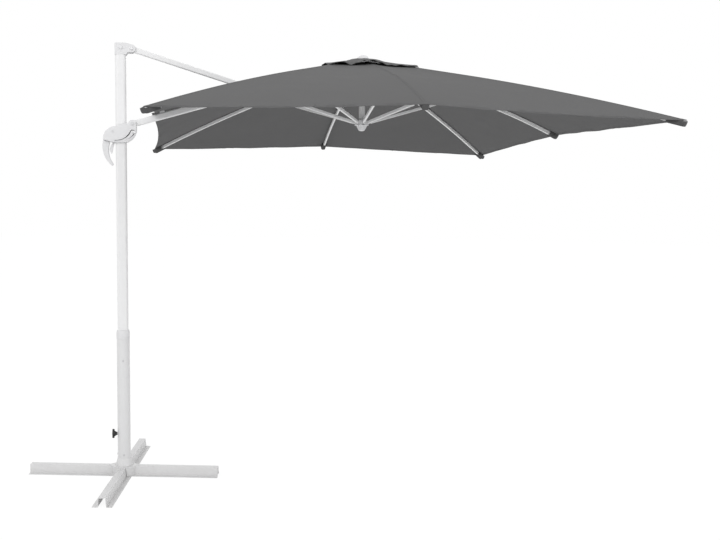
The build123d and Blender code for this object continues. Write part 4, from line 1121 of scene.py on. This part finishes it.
@dataclass
class Studio:
    """Floor, world, lamps and the camera."""

    eye: Vector = field(default_factory=lambda: Vector((0.2701, -4.6142, 1.5278)))
    yaw: float = 0.1259
    dip: float = 0.1042
    roll: float = 0.0096
    lens: float = 40.335
    shift: tuple[float, float] = (0.12172, 0.03357)

    def backdrop_shader(self, tree: bpy.types.NodeTree) -> bpy.types.NodeSocket:
        """A mask of 1 for rays that see the plain white backdrop.

        Args:
            tree: the tree that the nodes go into.

        Returns:
            The mask's socket.
        """
        path = tree.nodes.new("ShaderNodeLightPath")
        masks = [path.outputs[key] for key in ("Is Camera Ray", "Is Glossy Ray", "Is Transmission Ray")]
        joined = masks[0]
        for mask in masks[1:]:
            either = tree.nodes.new("ShaderNodeMath")
            either.operation = "MAXIMUM"
            tree.links.new(joined, either.inputs[0])
            tree.links.new(mask, either.inputs[1])
            joined = either.outputs[0]
        return joined

    def build_world(self, strength: float = 0.78) -> None:
        """Even white light all round, and plain white behind the object.

        Args:
            strength: how bright the light on the object is.
        """
        world = bpy.data.worlds.new("studio_world")
        bpy.context.scene.world = world
        world.use_nodes = True
        tree = world.node_tree
        tree.nodes.clear()
        lit = tree.nodes.new("ShaderNodeBackground")
        seen = tree.nodes.new("ShaderNodeBackground")
        mix = tree.nodes.new("ShaderNodeMixShader")
        lit.inputs["Strength"].default_value = strength
        lit.inputs["Color"].default_value = WHITE
        seen.inputs["Strength"].default_value = 1.0
        seen.inputs["Color"].default_value = WHITE
        out = tree.nodes.new("ShaderNodeOutputWorld")
        tree.links.new(self.backdrop_shader(tree), mix.inputs[0])
        tree.links.new(lit.outputs[0], mix.inputs[1])
        tree.links.new(seen.outputs[0], mix.inputs[2])
        tree.links.new(mix.outputs[0], out.inputs["Surface"])

    def build_floor(self, shade: float = 0.10) -> None:
        """A pale floor that keeps a faint shadow.

        Args:
            shade: how much of the shadow shows.
        """
        mesh = bpy.data.meshes.new("studio_floor")
        radius, sides = 40.0, 96
        angles = [math.tau * i / sides for i in range(sides)]
        ring = [Vector((radius * math.cos(a), radius * math.sin(a), -0.0005)) for a in angles]
        mesh.from_pydata(ring, [], [tuple(range(sides))])
        floor = bpy.data.objects.new("studio_floor", mesh)
        bpy.context.scene.collection.objects.link(floor)
        material = bpy.data.materials.new("studio_floor_paper")
        material.use_nodes = True
        tree = material.node_tree
        tree.nodes.clear()
        paper = tree.nodes.new("ShaderNodeBsdfDiffuse")
        glow = tree.nodes.new("ShaderNodeEmission")
        mix = tree.nodes.new("ShaderNodeMixShader")
        paper.inputs["Color"].default_value = (0.86, 0.86, 0.86, 1.0)
        glow.inputs["Strength"].default_value = 1.04
        share = tree.nodes.new("ShaderNodeMath")
        share.operation = "MULTIPLY"
        share.inputs[1].default_value = 1.0 - shade
        out = tree.nodes.new("ShaderNodeOutputMaterial")
        tree.links.new(self.backdrop_shader(tree), share.inputs[0])
        tree.links.new(share.outputs[0], mix.inputs[0])
        tree.links.new(paper.outputs[0], mix.inputs[1])
        tree.links.new(glow.outputs[0], mix.inputs[2])
        tree.links.new(mix.outputs[0], out.inputs["Surface"])
        mesh.materials.append(material)

    def build_lamps(self) -> None:
        """Large soft lamps in front, at the side and behind."""
        lamps = {
            "key_lamp": ((-2.5, -5.0, 5.0), 4.0, 135.0),
            "fill_lamp": ((5.5, -4.0, 3.4), 4.0, 85.0),
            "back_lamp": ((1.5, 5.0, 5.0), 4.0, 60.0),
        }
        for name, (spot, size, power) in lamps.items():
            data = bpy.data.lights.new(name, "AREA")
            data.size = size
            data.energy = power
            lamp = bpy.data.objects.new(name, data)
            lamp.location = spot
            aim = Vector((1.0, 0.0, 1.4)) - Vector(spot)
            lamp.rotation_euler = aim.to_track_quat("-Z", "Y").to_euler()
            bpy.context.scene.collection.objects.link(lamp)

    def build_camera(self) -> None:
        """Make the camera, in front of the canopy and a little below it."""
        ahead = Vector((
            math.sin(self.yaw) * math.cos(self.dip),
            math.cos(self.yaw) * math.cos(self.dip),
            -math.sin(self.dip),
        ))
        right = Vector((math.cos(self.yaw), -math.sin(self.yaw), 0.0))
        up = right.cross(ahead)
        side = right * math.cos(self.roll) + up * math.sin(self.roll)
        top = up * math.cos(self.roll) - right * math.sin(self.roll)
        data = bpy.data.cameras.new("camera")
        data.lens = self.lens
        data.sensor_width = 36.0
        data.sensor_fit = "HORIZONTAL"
        data.shift_x, data.shift_y = self.shift
        camera = bpy.data.objects.new("camera", data)
        camera.matrix_world = Matrix((
            (side.x, top.x, -ahead.x, self.eye.x),
            (side.y, top.y, -ahead.y, self.eye.y),
            (side.z, top.z, -ahead.z, self.eye.z),
            (0.0, 0.0, 0.0, 1.0),
        ))
        bpy.context.scene.collection.objects.link(camera)
        bpy.context.scene.camera = camera

    def build(self) -> None:
        """Set the stage."""
        bpy.context.scene.view_settings.view_transform = "Standard"
        self.build_world()
        self.build_floor()
        self.build_lamps()
        self.build_camera()
        LOG.info("studio set")


def main() -> None:
    """Build the studio, the frame's finishes and the canopy."""
    Studio().build()
    wardrobe = Wardrobe()
    for part in (Frame(wardrobe), Canopy(wardrobe)):
        part.build()


if __name__ == "__main__":
    main()
